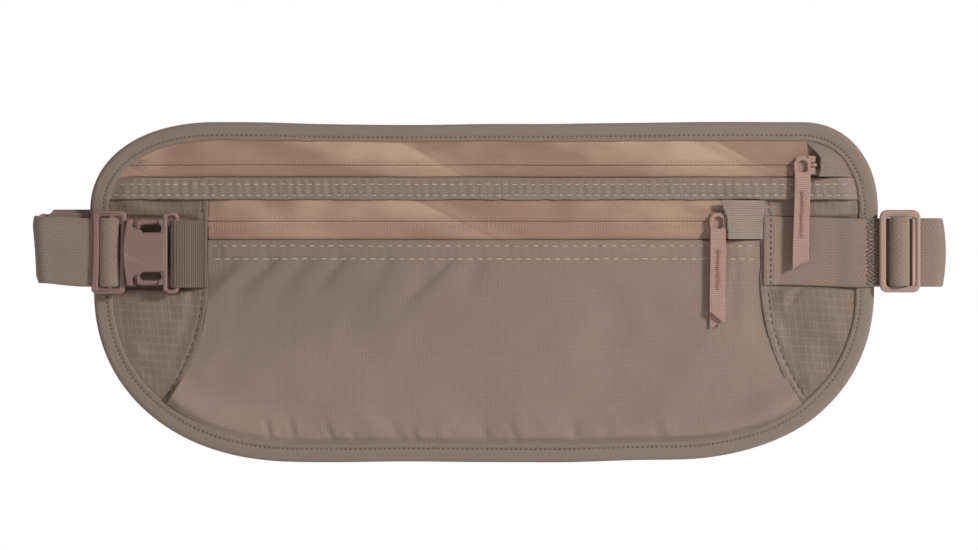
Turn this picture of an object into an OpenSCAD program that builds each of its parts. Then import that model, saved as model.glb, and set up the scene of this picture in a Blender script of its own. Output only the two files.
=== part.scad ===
// Money belt: a flat two-pocket waist pouch on an elastic strap with a side-release buckle.
// X runs to the pouch's right, Z up, and the front faces -Y. The plane Y = 0 is the face that
// lies against the waist, so a depth of d millimetres in front of the waist is Y = -d.
// Z = 0 is the centre line of the strap and X = 0 is the middle of the pouch.

/* [Pouch outline] */
// Half of the pouch's width at the upper corners
upper_half_w = 146; // [140:0.5:146]
// Half of the pouch's width at the lower corners
lower_half_w = 144.6; // [138:0.1:146]
// Height of the top edge above the strap's centre line
pouch_top = 48.5; // [47:0.1:52]
// Depth of the bottom edge below the strap's centre line
pouch_bottom = 77.6; // [70:0.1:84]
// Width of the rounded upper left corner
upper_left_w = 46.5; // [30:0.5:60]
// Width of the rounded upper right corner
upper_right_w = 28.3; // [20:0.1:45]
// Height of the rounded upper corners
upper_corner_h = 33; // [20:0.5:36]
// Width of the rounded lower corners
lower_corner_w = 75; // [50:0.5:90]
// Height of the rounded lower corners
lower_corner_h = 64; // [45:0.5:66]
// Squareness of the corners, where 2 is an ellipse
squareness = 2.15; // [2:0.05:2.6]

/* [Pouch layers] */
// Width of the binding that wraps the pouch's edge
binding_w = 7; // [5:0.5:9]
// Thickness of the binding tape
binding_t = 0.4; // [0.3:0.05:0.5]
// Height of the strip between the two zips
strip_h = 8; // [7:0.1:9]
// Top of the front panel's hem above the strap's centre line
hem_top = 4.5; // [4:0.1:5]
// Distance of the side seams from the middle
seam_half_w = 102.5; // [100:0.5:103]
// How fast the side seams flare outwards below their straight part
seam_flare = 0.0079; // [0:0.0001:0.012]

/* [Zips] */
// Height of the upper zip's centre line
upper_zip_z = 32.3; // [32:0.1:32.8]
// Height of the lower zip's centre line
lower_zip_z = 11.5; // [11.2:0.1:11.8]
// Slit between the two halves of a zip
zip_slit = 0.6; // [0.5:0.05:0.8]
// Length of a slider
slider_l = 8.6; // [8:0.1:9]
// Width of a slider
slider_w = 7.1; // [6.8:0.1:7.4]

/* [Strap and fittings] */
// Width of the elastic strap
strap_w = 25.4; // [24:0.1:26]
// Thickness of the elastic strap
strap_t = 1.2; // [1:0.05:1.2]
// Distance from the middle to the strap's left fold
left_tip = 167.2; // [164:0.1:172]
// Distance from the middle to the strap's right fold
right_tip = 170.4; // [169:0.1:174]
// Height of the plug, socket and adjuster frames
frame_h = 30.6; // [30:0.1:32]
// Clear height inside those frames
window_h = 26.6; // [26.5:0.1:27]

/* [Hidden] */

gap = 0.1;
$fn = 48;

// Depths in front of the waist, layer by layer
run_out = strap_t / 2;
run_in = run_out + strap_t + gap;
binding_back = 2.6;
binding_front = 6.2;
back_panel_d = [3.1, 4.1];
divider_d = [4.2, 4.5];
wing_d = [4.6, 4.9];
coil_d = [5.4, 6.2];
tape_d = [6.3, 6.7];
strip_d = [6.8, 7.2];
panel_low_d = 5.2;
panel_high_d = 7;
panel_t = 0.4;
tab_t = 0.5;

// Edges that the layers share
edge_inset = 0.7;
inner_inset = binding_w + gap;
strip_bottom = 19.6;
strip_top = strip_bottom + strip_h;
tape_lap = 3;
wing_lap = 2;
seam_start = -12;

// Slider, puller and ribbon
coil_w = 1.6;
slider_top_d = [6.85, 7.65];
slider_base_d = [4.7, 5.3];
pin_x = 3;
pin_d = 8.5;
pin_r = 0.35;
bridge_d = [8.9, 9.4];
ring_x = -4.3;
ring_r = 2.8;
ring_hole_r = 1.8;
ring_d = [8.3, 9.2];
bar_drop = 3.35;
bar_r = 0.45;
bar_d = 8.85;
ribbon_w = 5.8;
ribbon_t = 0.5;
ribbon_bend = 0.6;
ribbon_neck_w = 3.5;
upper_slider_x = 117.7 - ring_x - pin_x;
lower_slider_x = 86.5 - ring_x - pin_x;

// Buckle
buckle_d = 10.35;
socket_half_t = 3.1;
socket_wall = 1.2;
socket_x = [-133.2, -129.5, -118.6, -117.2];
plate_half_h = 7.4;
mouth_half_h = 12.2;
mouth_wall = 1.4;
web_bar_x = -113.6;
web_bar_r = 1.2;
web_t = 1.1;
plug_half_t = 1.3;
plug_x = [-144.9, -142, -134.3, -132.1];
plug_bar_x = -137.9;
plug_bar_r = 1.2;
latch_z = 8.5;
latch_r = 0.9;
latch_half_t = 1.6;

// Adjuster
adjuster_x = [146.2, 148.4, 159.2, 161.3];
adjuster_d = 8.65;
adjuster_half_t = 1;
adjuster_bar_x = 153.6;
adjuster_bar_r = 1;
front_lap_d = 6.9;

// ---------- shared shapes ----------

// A quarter of a superellipse, from angle a0 on
function corner(x, z, w, h, a0) = [
    for (i = [0:14])
        let (a = a0 + i * 90 / 14, c = cos(a), s = sin(a))
        [x + w * sign(c) * pow(abs(c), 2 / squareness), z + h * sign(s) * pow(abs(s), 2 / squareness)]
];

// The pouch's outline, drawn in by inset
function outline(inset) = concat(
    corner(upper_half_w - upper_right_w, pouch_top - upper_corner_h, upper_right_w - inset,
        upper_corner_h - inset, 0),
    corner(upper_left_w - upper_half_w, pouch_top - upper_corner_h, upper_left_w - inset,
        upper_corner_h - inset, 90),
    corner(lower_corner_w - lower_half_w, lower_corner_h - pouch_bottom, lower_corner_w - inset,
        lower_corner_h - inset, 180),
    corner(lower_half_w - lower_corner_w, lower_corner_h - pouch_bottom, lower_corner_w - inset,
        lower_corner_h - inset, 270)
);

// Distance of a side seam from the middle at height z
function seam(z) = seam_half_w + seam_flare * pow(max(0, seam_start - z), 2);

// Points along an arc, with angles in degrees
function arc(x, y, r, a0, a1, steps = 12) = [
    for (i = [0:steps])
        let (a = a0 + (a1 - a0) * i / steps)
        [x + r * cos(a), y + r * sin(a)]
];

// The direction across a path at its point i
function across(path, i) =
    let (d = path[min(i + 1, len(path) - 1)] - path[max(i - 1, 0)])
    [-d[1], d[0]] / norm(d);

// The outline of a strip of thickness t that follows a path
function strip(path, t) = concat(
    [for (i = [0:len(path) - 1]) path[i] + across(path, i) * t / 2],
    [for (i = [len(path) - 1:-1:0]) path[i] - across(path, i) * t / 2]
);

// A flat layer between two depths, from a shape drawn in X and Z
module layer(depths) {
    rotate([90, 0, 0])
        translate([0, 0, depths[0]])
            linear_extrude(depths[1] - depths[0])
                children();
}

// A web of width w that follows a path drawn in X and depth
module web(path, t, w, z = 0) {
    translate([0, 0, z - w / 2])
        linear_extrude(w)
            mirror([0, 1])
                polygon(strip(path, t));
}

// A box given by its limits in X, depth and Z
module block(x, d, z) {
    translate([x[0], -d[1], z[0]])
        cube([x[1] - x[0], d[1] - d[0], z[1] - z[0]]);
}

// An upright round bar at a place in X and depth
module upright_bar(x, d, r, z) {
    translate([x, -d, z[0]])
        cylinder(r = r, h = z[1] - z[0]);
}

module rounded_rect(w, h, r) {
    square([w - 2 * r, h], center = true);
    square([w, h - 2 * r], center = true);
    for (sx = [-1, 1], sz = [-1, 1])
        translate([sx * (w / 2 - r), sz * (h / 2 - r)])
            circle(r);
}

module pouch_shape(inset) {
    polygon(outline(inset));
}

// ---------- pouch ----------

module back_panel() {
    color("#8a7b6c")
        layer(back_panel_d)
            pouch_shape(edge_inset);
}

module pocket_divider() {
    color("#7d7062")
        layer(divider_d)
            intersection() {
                pouch_shape(edge_inset);
                translate([-200, -200])
                    square([400, 200 + strip_bottom + 4]);
            }
}

// The side of a wing or of the front panel, as a line that follows the seam
function seam_line(side, shift) = [
    for (i = [0:18])
        let (z = strip_bottom + 1 - i * 5.5)
        [side * (seam(z) + shift), z]
];

module wing(side) {
    layer(wing_d)
        intersection() {
            pouch_shape(edge_inset);
            polygon(concat(seam_line(side, -wing_lap), [[side * 200, -90], [side * 200, strip_bottom + 1]]));
        }
}

module left_wing() {
    color("#75685a") wing(-1);
}

module right_wing() {
    color("#75685a") wing(1);
}

// Side view of the front panel, from the hem over the lower zip's tape down to the bottom edge
module front_panel() {
    hem_end = hem_top - 7;
    side_view = [
        [panel_high_d, hem_top],
        [panel_high_d, hem_end],
        [panel_low_d, hem_end - 52],
        [panel_low_d, -pouch_bottom - 1]
    ];
    color("#8b7b6b")
        intersection() {
            rotate([90, 0, 90])
                translate([0, 0, -150])
                    linear_extrude(300)
                        mirror([1, 0])
                            polygon(strip(side_view, panel_t));
            layer([0, 20])
                intersection() {
                    pouch_shape(edge_inset);
                    polygon(concat(seam_line(1, 0), [for (i = [18:-1:0]) seam_line(-1, 0)[i]]));
                }
        }
}

module divider_strip() {
    color("#8b7b6b")
        layer(strip_d)
            intersection() {
                pouch_shape(inner_inset);
                translate([-200, strip_bottom])
                    square([400, strip_h]);
            }
}

module edge_binding() {
    color("#8c7d70")
        difference() {
            layer([binding_back, binding_front]) pouch_shape(0);
            layer([binding_back + binding_t, binding_front - binding_t]) pouch_shape(0.5);
            layer([0, 10]) pouch_shape(binding_w);
        }
}

// ---------- zips ----------

module zip_tape(x, z) {
    color("#a08070")
        layer(tape_d)
            intersection() {
                pouch_shape(inner_inset);
                translate([x[0], z[0]])
                    square([x[1] - x[0], z[1] - z[0]]);
            }
}

module zip_coil(x, z, side) {
    z0 = z + side * (zip_slit / 2 + coil_w / 2) - coil_w / 2;
    color("#b09a86")
        block(x, coil_d, [z0, z0 + coil_w]);
}

upper_zip_x = [-127.5, 130];
lower_zip_x = [-seam_half_w, seam_half_w];

module upper_zip_tape_top() {
    zip_tape([-200, 200], [upper_zip_z + zip_slit / 2, pouch_top]);
}

module upper_zip_tape_bottom() {
    zip_tape([-200, 200], [strip_top - tape_lap, upper_zip_z - zip_slit / 2]);
}

module upper_zip_coil_top() {
    zip_coil(upper_zip_x, upper_zip_z, 1);
}

module upper_zip_coil_bottom() {
    zip_coil(upper_zip_x, upper_zip_z, -1);
}

module lower_zip_tape_top() {
    zip_tape(lower_zip_x, [lower_zip_z + zip_slit / 2, strip_bottom + tape_lap]);
}

module lower_zip_tape_bottom() {
    zip_tape(lower_zip_x, [hem_top - tape_lap, lower_zip_z - zip_slit / 2]);
}

module lower_zip_coil_top() {
    zip_coil(lower_zip_x, lower_zip_z, 1);
}

module lower_zip_coil_bottom() {
    zip_coil(lower_zip_x, lower_zip_z, -1);
}

// A woven tab over a zip's closed end, lifted where the slider parks
module zip_tab(path, z) {
    color("#93836f")
        intersection() {
            web(path, tab_t, z[1] - z[0], (z[0] + z[1]) / 2);
            layer([0, 20]) pouch_shape(inner_inset);
        }
}

module upper_zip_tab() {
    zip_tab([[123.8, 8.4], [126, 7.9], [129, 7.3], [132, 7.05], [145, 7.05]], [28, 40.4]);
}

module lower_zip_tab() {
    zip_tab([[90.1, 10.4], [93, 9.9], [96, 8.9], [99, 7.6], [101, 7.1], [103.4, 7.05]], [5, 19.1]);
}

// ---------- sliders and pulls ----------

module slider(x, z) {
    color("#b3998a") {
        difference() {
            layer(slider_top_d)
                translate([x, z]) rounded_rect(slider_l, slider_w, 1.2);
            layer([slider_top_d[0] - 1, slider_top_d[1] + 1])
                translate([x + slider_l / 2, z]) circle(0.9);
        }
        layer(slider_base_d)
            translate([x, z]) rounded_rect(slider_l, slider_w, 1.2);
        block([x - 1.2, x + 1.2], [slider_base_d[1] - 0.1, slider_top_d[0] + 0.1], [z - 0.2, z + 0.2]);
        for (side = [-1, 1])
            block([x - 3.2, x + 3.2], [slider_base_d[1] - 0.1, coil_d[1]],
                [z + side * 2.6 - 0.45, z + side * 2.6 + 0.45]);
        for (post = [-0.85, 0.85])
            block([x + pin_x + post - 0.3, x + pin_x + post + 0.3],
                [slider_top_d[1] - 0.1, bridge_d[1]], [z - 0.8, z + 0.8]);
        block([x + pin_x - 1.15, x + pin_x + 1.15], bridge_d, [z - 0.8, z + 0.8]);
    }
}

// Ring plate that hinges on an upright pin under the slider's bridge
module puller(x, z) {
    ring_c = x + pin_x + ring_x;
    color("#c0a696") {
        upright_bar(x + pin_x, pin_d, pin_r, [z - 2, z + 2]);
        for (side = [-1, 1])
            block([ring_c + 1.7, x + pin_x], [pin_d - pin_r, pin_d + pin_r],
                [z + side * 1.55 - 0.45, z + side * 1.55 + 0.45]);
        difference() {
            layer(ring_d) {
                translate([ring_c, z]) circle(ring_r);
                translate([ring_c - ring_r, z - bar_drop]) square([2 * ring_r, bar_drop]);
            }
            layer([0, 20]) {
                translate([ring_c, z]) circle(ring_hole_r);
                translate([ring_c - ring_hole_r - 0.1, z - bar_drop - 1])
                    square([2 * ring_hole_r + 0.2, bar_drop + 1]);
            }
        }
        translate([ring_c - ring_r, -bar_d, z - bar_drop])
            rotate([0, 90, 0])
                cylinder(r = bar_r, h = 2 * ring_r);
    }
}

// Ribbon folded over the puller's bar: ends are the heights of its left and right lower corners
module pull_ribbon(x, z, front_ends, back_ends) {
    ring_c = x + pin_x + ring_x;
    bar_z = z - bar_drop;
    near = ribbon_bend;
    far = ribbon_bend + ribbon_t;
    color("#c6a99a") {
        for (leaf = [[bar_d + near, bar_d + far, front_ends], [bar_d - far, bar_d - near, back_ends]]) {
            layer([leaf[0], leaf[1]])
                polygon([
                    [ring_c - ribbon_w / 2, bar_z - far],
                    [ring_c - ribbon_w / 2, leaf[2][0]],
                    [ring_c + ribbon_w / 2, leaf[2][1]],
                    [ring_c + ribbon_w / 2, bar_z - far]
                ]);
            layer([leaf[0], leaf[1]])
                translate([ring_c - ribbon_neck_w / 2, bar_z - far - 0.1])
                    square([ribbon_neck_w, far + 0.1]);
        }
        difference() {
            translate([ring_c - ribbon_neck_w / 2, -bar_d, bar_z])
                rotate([0, 90, 0])
                    cylinder(r = far, h = ribbon_neck_w);
            translate([ring_c - ribbon_neck_w / 2 - 1, -bar_d, bar_z])
                rotate([0, 90, 0])
                    cylinder(r = near, h = ribbon_neck_w + 2);
            block([ring_c - 3, ring_c + 3], [bar_d - 2, bar_d + 2], [bar_z - 2, bar_z]);
        }
    }
}

module upper_slider() {
    slider(upper_slider_x, upper_zip_z);
}

module upper_puller() {
    puller(upper_slider_x, upper_zip_z);
}

module upper_pull_ribbon() {
    pull_ribbon(upper_slider_x, upper_zip_z, [-6.4, -1], [-6, -3]);
}

module lower_slider() {
    slider(lower_slider_x, lower_zip_z);
}

module lower_puller() {
    puller(lower_slider_x, lower_zip_z);
}

module lower_pull_ribbon() {
    pull_ribbon(lower_slider_x, lower_zip_z, [-21.8, -26.3], [-28.2, -25]);
}

// ---------- buckle ----------

module buckle_web_loop() {
    wrap = web_bar_r + gap + web_t / 2;
    path = concat(
        [[-102.7, 5.55], [-104.5, 5.55], [-106.5, 5.75], [-109, 6.8]],
        arc(web_bar_x, buckle_d, wrap, 285, 80, 16),
        [[-110, 11.2], [-107, 8.6], [-105.2, 7.1], [-104, 6.75], [-102.7, 6.75]]
    );
    color("#7e6f63")
        web(path, web_t, 24.8);
}

module buckle_socket() {
    front = buckle_d + socket_half_t;
    back = buckle_d - socket_half_t;
    mouth_curve_r = 82;
    color("#87685f") {
        for (d = [[back, back + socket_wall], [front - socket_wall, front]])
            block([socket_x[1] - 1, socket_x[2] + 0.5], d, [-plate_half_h, plate_half_h]);
        difference() {
            intersection() {
                block([socket_x[0], socket_x[1]], [back, front], [-mouth_half_h, mouth_half_h]);
                layer([0, 20])
                    translate([socket_x[0] + mouth_curve_r, 0]) circle(mouth_curve_r, $fn = 200);
            }
            block([socket_x[0] - 1, socket_x[1] + 1], [back + socket_wall, front - socket_wall],
                [mouth_wall - mouth_half_h, mouth_half_h - mouth_wall]);
            block([socket_x[0] - 1, plug_x[3] + gap], [back + socket_wall, front - socket_wall],
                [-mouth_half_h - 1, mouth_half_h + 1]);
        }
        block([socket_x[2], socket_x[3]], [back + 0.4, front - 0.4], [-frame_h / 2 + 0.6, frame_h / 2 - 0.6]);
        block([socket_x[2], socket_x[2] + 1], [back, front], [-plate_half_h, plate_half_h]);
        for (side = [-1, 1])
            block([socket_x[2], web_bar_x], [buckle_d - web_bar_r, buckle_d + web_bar_r],
                [side * (window_h + frame_h) / 4 - 1, side * (window_h + frame_h) / 4 + 1]);
        upright_bar(web_bar_x, buckle_d, web_bar_r, [-frame_h / 2, frame_h / 2]);
    }
}

module buckle_plug() {
    middle_x = (plug_x[0] + plug_x[3]) / 2;
    depths = [buckle_d - plug_half_t, buckle_d + plug_half_t];
    color("#8a6b62") {
        difference() {
            layer(depths)
                translate([middle_x, 0]) rounded_rect(plug_x[3] - plug_x[0], frame_h, 1.8);
            layer([0, 20])
                translate([(plug_x[1] + plug_x[2]) / 2, 0])
                    square([plug_x[2] - plug_x[1], window_h], center = true);
            for (side = [-1, 1])
                layer([0, 20])
                    translate([plug_x[3], side * latch_z]) circle(latch_r + gap);
        }
        upright_bar(plug_bar_x, buckle_d, plug_bar_r, [-window_h / 2 - 0.5, window_h / 2 + 0.5]);
        layer(depths)
            polygon([[plug_x[3] - 1, -4.5], [plug_x[3] + 9, -3], [plug_x[3] + 10.5, -1.5],
                [plug_x[3] + 10.5, 1.5], [plug_x[3] + 9, 3], [plug_x[3] - 1, 4.5]]);
    }
}

// Springy side latch of the plug: a neck, a hook that catches behind the socket's mouth and a
// finger pad along the socket's side
module latch(side) {
    hook_x = -128;
    tip_x = socket_x[2] - 0.3;
    pad_z = [10.2, 11.95];
    color("#957a70")
        layer([buckle_d - latch_half_t, buckle_d + latch_half_t])
            mirror([0, side < 0 ? 1 : 0]) {
                translate([plug_x[3], latch_z]) circle(latch_r);
                polygon([
                    [plug_x[3], latch_z - 0.75],
                    [hook_x + 1.4, latch_z - 0.75],
                    [hook_x + 2.4, pad_z[0] - 0.6],
                    [hook_x + 3.4, pad_z[0]],
                    [tip_x, pad_z[0]],
                    [tip_x, pad_z[1] - 0.3],
                    [tip_x - 0.6, pad_z[1]],
                    [hook_x + 0.6, pad_z[1]],
                    [hook_x, pad_z[1] - 0.6],
                    [hook_x, latch_z + 0.75],
                    [plug_x[3], latch_z + 0.75]
                ]);
            }
}

module latch_upper() {
    latch(1);
}

module latch_lower() {
    latch(-1);
}

// ---------- strap ----------

strap_colour = "#85766a";

// Sewn to the right wing, it climbs over the binding and passes under the adjuster's left bar
module strap_front_run() {
    path = [[103.7, 5.6], [128, 5.6], [131, 5.75], [135, 6.55], [138, 6.88], [141, front_lap_d],
        [149.1, front_lap_d]];
    color(strap_colour) web(path, strap_t, strap_w);
}

// The front layer where it humps over the adjuster's middle bar
module strap_adjuster_hump() {
    over = adjuster_bar_r + 2 * gap + 1.5 * strap_t;
    bend = 1.4;
    path = concat(
        arc(adjuster_bar_x - over - bend, front_lap_d + bend, bend, -90, 0, 6),
        arc(adjuster_bar_x, adjuster_d, over, 180, 0, 16),
        arc(adjuster_bar_x + over + bend, front_lap_d + bend, bend, 180, 270, 6),
        [[159, front_lap_d]]
    );
    color(strap_colour) web(path, strap_t, strap_w);
}

module strap_right_fold() {
    r = (front_lap_d - run_out) / 2;
    path = concat(
        [[159.1, front_lap_d], [162, front_lap_d]],
        arc(right_tip - strap_t / 2 - r, run_out + r, r, 90, -90, 16),
        [[155, run_out], [146.2, run_out]]
    );
    color(strap_colour) web(path, strap_t, strap_w);
}

module strap_outer_run() {
    color(strap_colour)
        web([[-146.1, run_out], [0, run_out], [146.1, run_out]], strap_t, strap_w);
}

module strap_inner_run() {
    color(strap_colour)
        web([[-146.1, run_in], [0, run_in], [146.1, run_in]], strap_t, strap_w);
}

// The strap's end, sewn round the adjuster's middle bar
module strap_tail() {
    wrap = adjuster_bar_r + gap + strap_t / 2;
    path = concat(
        [[146.2, run_in], [147.6, 2], [149.2, 2.6], [150.6, 3.8], [151.6, 5.3], [152.4, 6.4]],
        arc(adjuster_bar_x, adjuster_d, wrap, -85, 200, 20)
    );
    color(strap_colour) web(path, strap_t, strap_w);
}

// Outer and inner layers of the left end, joined where they loop over the plug's middle bar
module strap_left_fold() {
    front_in = 7;
    front_out = front_in + strap_t + gap;
    mid_d = (front_out + run_out) / 2;
    r_out = (front_out - run_out) / 2;
    r_in = (front_in - run_in) / 2;
    fold_x = r_out + strap_t / 2 - left_tip;
    over = plug_bar_r + gap + strap_t / 2;
    bend = 1.5;
    left_x = plug_bar_x - over;
    right_x = plug_bar_x + over;
    path = concat(
        [[-146.2, run_out], [-155, run_out]],
        arc(fold_x, mid_d, r_out, 270, 90, 12),
        [[-155, front_out], [-146, front_out]],
        arc(left_x - bend, front_out + bend, bend, -90, 0, 4),
        arc(plug_bar_x, buckle_d, over, 180, 0, 10),
        arc(right_x - bend, front_in + bend, bend, 0, -90, 4),
        [[-146, front_in], [-155, front_in]],
        arc(fold_x, mid_d, r_in, 90, 270, 10),
        [[-155, run_in], [-146.2, run_in]]
    );
    color(strap_colour) web(path, strap_t, strap_w);
}

module adjuster() {
    middle_x = (adjuster_x[0] + adjuster_x[3]) / 2;
    color("#b4968a") {
        difference() {
            layer([adjuster_d - adjuster_half_t, adjuster_d + adjuster_half_t])
                translate([middle_x, 0]) rounded_rect(adjuster_x[3] - adjuster_x[0], frame_h, 3);
            layer([0, 20])
                translate([(adjuster_x[1] + adjuster_x[2]) / 2, 0])
                    rounded_rect(adjuster_x[2] - adjuster_x[1], window_h, 1);
        }
        upright_bar(adjuster_bar_x, adjuster_d, adjuster_bar_r, [-window_h / 2 - 0.5, window_h / 2 + 0.5]);
    }
}

back_panel();
pocket_divider();
left_wing();
right_wing();
front_panel();
divider_strip();
edge_binding();
upper_zip_tape_top();
upper_zip_tape_bottom();
upper_zip_coil_top();
upper_zip_coil_bottom();
upper_zip_tab();
lower_zip_tape_top();
lower_zip_tape_bottom();
lower_zip_coil_top();
lower_zip_coil_bottom();
lower_zip_tab();
upper_slider();
upper_puller();
upper_pull_ribbon();
lower_slider();
lower_puller();
lower_pull_ribbon();
buckle_web_loop();
buckle_socket();
buckle_plug();
latch_upper();
latch_lower();
strap_front_run();
strap_adjuster_hump();
strap_right_fold();
strap_outer_run();
strap_inner_run();
strap_tail();
strap_left_fold();
adjuster();
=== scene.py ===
"""Looks of the money belt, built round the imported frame.

Working units are millimetres: x to the right, d in front of the waist, z up.
A point (x, d, z) is (x, -d, z) / 1000 in the frame.
"""

import math
import random

import bmesh
import bpy
import numpy as np
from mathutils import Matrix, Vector, kdtree


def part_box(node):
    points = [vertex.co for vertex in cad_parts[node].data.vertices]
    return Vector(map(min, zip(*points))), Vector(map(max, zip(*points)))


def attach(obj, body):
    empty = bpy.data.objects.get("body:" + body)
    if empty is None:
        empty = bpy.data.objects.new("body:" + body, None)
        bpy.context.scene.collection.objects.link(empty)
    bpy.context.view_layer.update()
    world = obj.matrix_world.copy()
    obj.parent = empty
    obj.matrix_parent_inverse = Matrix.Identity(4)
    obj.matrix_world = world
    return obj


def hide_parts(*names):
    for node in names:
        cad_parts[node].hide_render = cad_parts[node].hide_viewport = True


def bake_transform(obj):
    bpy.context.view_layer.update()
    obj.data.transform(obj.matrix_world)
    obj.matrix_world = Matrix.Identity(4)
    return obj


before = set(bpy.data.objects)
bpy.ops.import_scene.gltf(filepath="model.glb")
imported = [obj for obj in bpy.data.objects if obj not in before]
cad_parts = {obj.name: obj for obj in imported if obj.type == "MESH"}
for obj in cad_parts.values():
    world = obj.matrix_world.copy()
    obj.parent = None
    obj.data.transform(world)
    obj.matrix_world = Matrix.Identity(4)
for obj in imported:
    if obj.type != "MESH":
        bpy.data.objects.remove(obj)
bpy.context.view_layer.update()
MM = 0.001
rng = np.random.default_rng(11)
scene = bpy.context.scene


def box(node):
    """Limits of a CAD node in working units: (x0, x1), (d0, d1), (z0, z1)."""
    lo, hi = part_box(node)
    return (lo.x / MM, hi.x / MM), (-hi.y / MM, -lo.y / MM), (lo.z / MM, hi.z / MM)


# ---------- numbers shared with the CAD ----------

(_, POUCH_R), _, (BOTTOM, TOP) = box("edge_binding")
UPPER_HALF, LOWER_HALF = POUCH_R, 144.6
UPPER_LEFT_W, UPPER_RIGHT_W, UPPER_H = 46.5, 28.3, 33.0
LOWER_W, LOWER_H = 75.0, 64.0
SQUARE = 2.15
Z_HI, Z_LO = TOP - UPPER_H, BOTTOM + LOWER_H
BINDING_W = 7.0
SEAM, FLARE, SEAM_START = box("lower_zip_coil_top")[0][1], 0.0079, -12.0
HEM_TOP = box("front_panel")[2][1]
STRIP_LOW, STRIP_HIGH = box("divider_strip")[2]


def between_coils(which):
    return (box(f"{which}_coil_top")[2][0] + box(f"{which}_coil_bottom")[2][1]) / 2


UPPER_ZIP, LOWER_ZIP = between_coils("upper_zip"), between_coils("lower_zip")

# middle depths of the layers, back to front, where the binding presses them to, how far inside the outline they
# are free of it, and how high a fold may rise under the ribbons
MESH_D, DIVIDER_D, WING_D, TAPE_D, STRIP_D = 3.6, 4.32, 4.75, 6.5, 7.0
PRESSED_BACK, PRESSED_FRONT = 3.1, 5.15
FREE_FROM = 12.5
PULL_CLEARANCE = 6.9


# ---------- small maths ----------

def smooth(a, b, t):
    """0 before a, 1 after b, eased in between."""
    u = np.clip((t - a) / (b - a), 0, 1)
    return u * u * (3 - 2 * u)


def bump(t, centre, width):
    """1 at the centre, falling away over the width."""
    return np.exp(-((t - centre) / width) ** 2)



def lengths(points):
    """Length along a line of points, up to each one."""
    return np.concatenate([[0], np.cumsum(np.linalg.norm(np.diff(points, axis=0), axis=1))])


def unit(vectors):
    return vectors / np.linalg.norm(vectors, axis=1)[:, None]


def spaced(a, b, step):
    return np.linspace(a, b, max(2, int(abs(b - a) / step) + 1))


def columns(*values):
    """Points from coordinates that are arrays or single numbers."""
    return np.column_stack(np.broadcast_arrays(*values))


class Noise:
    """Smooth value noise in two directions, from a seeded table."""

    def __init__(self, seed, size=64):
        self.n = size
        self.table = np.random.default_rng(seed).uniform(-1, 1, (size, size))

    def __call__(self, x, y):
        i, j = np.floor(x).astype(int), np.floor(y).astype(int)
        u, v = x - i, y - j
        u, v = u * u * (3 - 2 * u), v * v * (3 - 2 * v)
        t, n = self.table, self.n
        a = t[i % n, j % n] * (1 - u) + t[(i + 1) % n, j % n] * u
        b = t[i % n, (j + 1) % n] * (1 - u) + t[(i + 1) % n, (j + 1) % n] * u
        return a * (1 - v) + b * v


soft, fine, pucker = Noise(1), Noise(2), Noise(3)


# ---------- the pouch's outline ----------

def half_width(z, side, inset=0.0):
    """Distance of the outline from the middle at height z, on one side."""
    upper_w = UPPER_RIGHT_W if side > 0 else UPPER_LEFT_W
    u = np.clip((z - Z_HI) / (UPPER_H - inset), 0, 1)
    v = np.clip((Z_LO - z) / (LOWER_H - inset), 0, 1)
    top = UPPER_HALF - upper_w + (upper_w - inset) * (1 - u ** SQUARE) ** (1 / SQUARE)
    low = LOWER_HALF - LOWER_W + (LOWER_W - inset) * (1 - v ** SQUARE) ** (1 / SQUARE)
    t = np.clip((z - Z_LO) / (Z_HI - Z_LO), 0, 1)
    straight = LOWER_HALF + (UPPER_HALF - LOWER_HALF) * t - inset
    return np.where(z > Z_HI, top, np.where(z < Z_LO, low, straight))


def top_of(x, inset):
    """Height of the outline's top at x."""
    w = np.where(x > 0, UPPER_RIGHT_W, UPPER_LEFT_W)
    u = np.clip((np.abs(x) - (UPPER_HALF - w)) / (w - inset), 0, 1)
    return Z_HI + (UPPER_H - inset) * (1 - u ** SQUARE) ** (1 / SQUARE)


def corner(x, z, w, h, start, n=48):
    """A quarter of a squarish ellipse."""
    a = np.radians(start + np.arange(n + 1) * 90 / n)
    c, s = np.cos(a), np.sin(a)
    c, s = (np.sign(v) * np.abs(v) ** (2 / SQUARE) for v in (c, s))
    return columns(x + w * c, z + h * s)


def outline(step):
    """The outline as evenly spaced points, with outward normals and lengths along it."""
    p = np.vstack([
        corner(UPPER_HALF - UPPER_RIGHT_W, Z_HI, UPPER_RIGHT_W, UPPER_H, 0),
        corner(UPPER_LEFT_W - UPPER_HALF, Z_HI, UPPER_LEFT_W, UPPER_H, 90),
        corner(LOWER_W - LOWER_HALF, Z_LO, LOWER_W, LOWER_H, 180),
        corner(LOWER_HALF - LOWER_W, Z_LO, LOWER_W, LOWER_H, 270)])
    p = np.vstack([p, p[:1]])
    length = lengths(p)
    n = int(round(length[-1] / step))
    s = np.arange(n) * length[-1] / n
    q = columns(np.interp(s, length, p[:, 0]), np.interp(s, length, p[:, 1]))
    for _ in range(4):
        q = (np.roll(q, 1, 0) + 2 * q + np.roll(q, -1, 0)) / 4
    reach = 3
    t = unit(np.roll(q, -reach, 0) - np.roll(q, reach, 0))
    return q, columns(t[:, 1], -t[:, 0]), s, length[-1]


EDGE, EDGE_N, EDGE_S, EDGE_LEN = outline(0.5)
edge_tree = kdtree.KDTree(len(EDGE))
for index, (edge_x, edge_z) in enumerate(EDGE):
    edge_tree.insert((edge_x, edge_z, 0), index)
edge_tree.balance()


def inset_of(x, z):
    """Distance of points from the outline."""
    flat = columns(np.ravel(x), np.ravel(z))
    return np.array([edge_tree.find((a, b, 0))[2] for a, b in flat]).reshape(np.shape(x))


def seam(z):
    """Half the front panel's width at height z: its side seams flare out downwards."""
    return SEAM + FLARE * np.maximum(0, SEAM_START - z) ** 2


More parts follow.
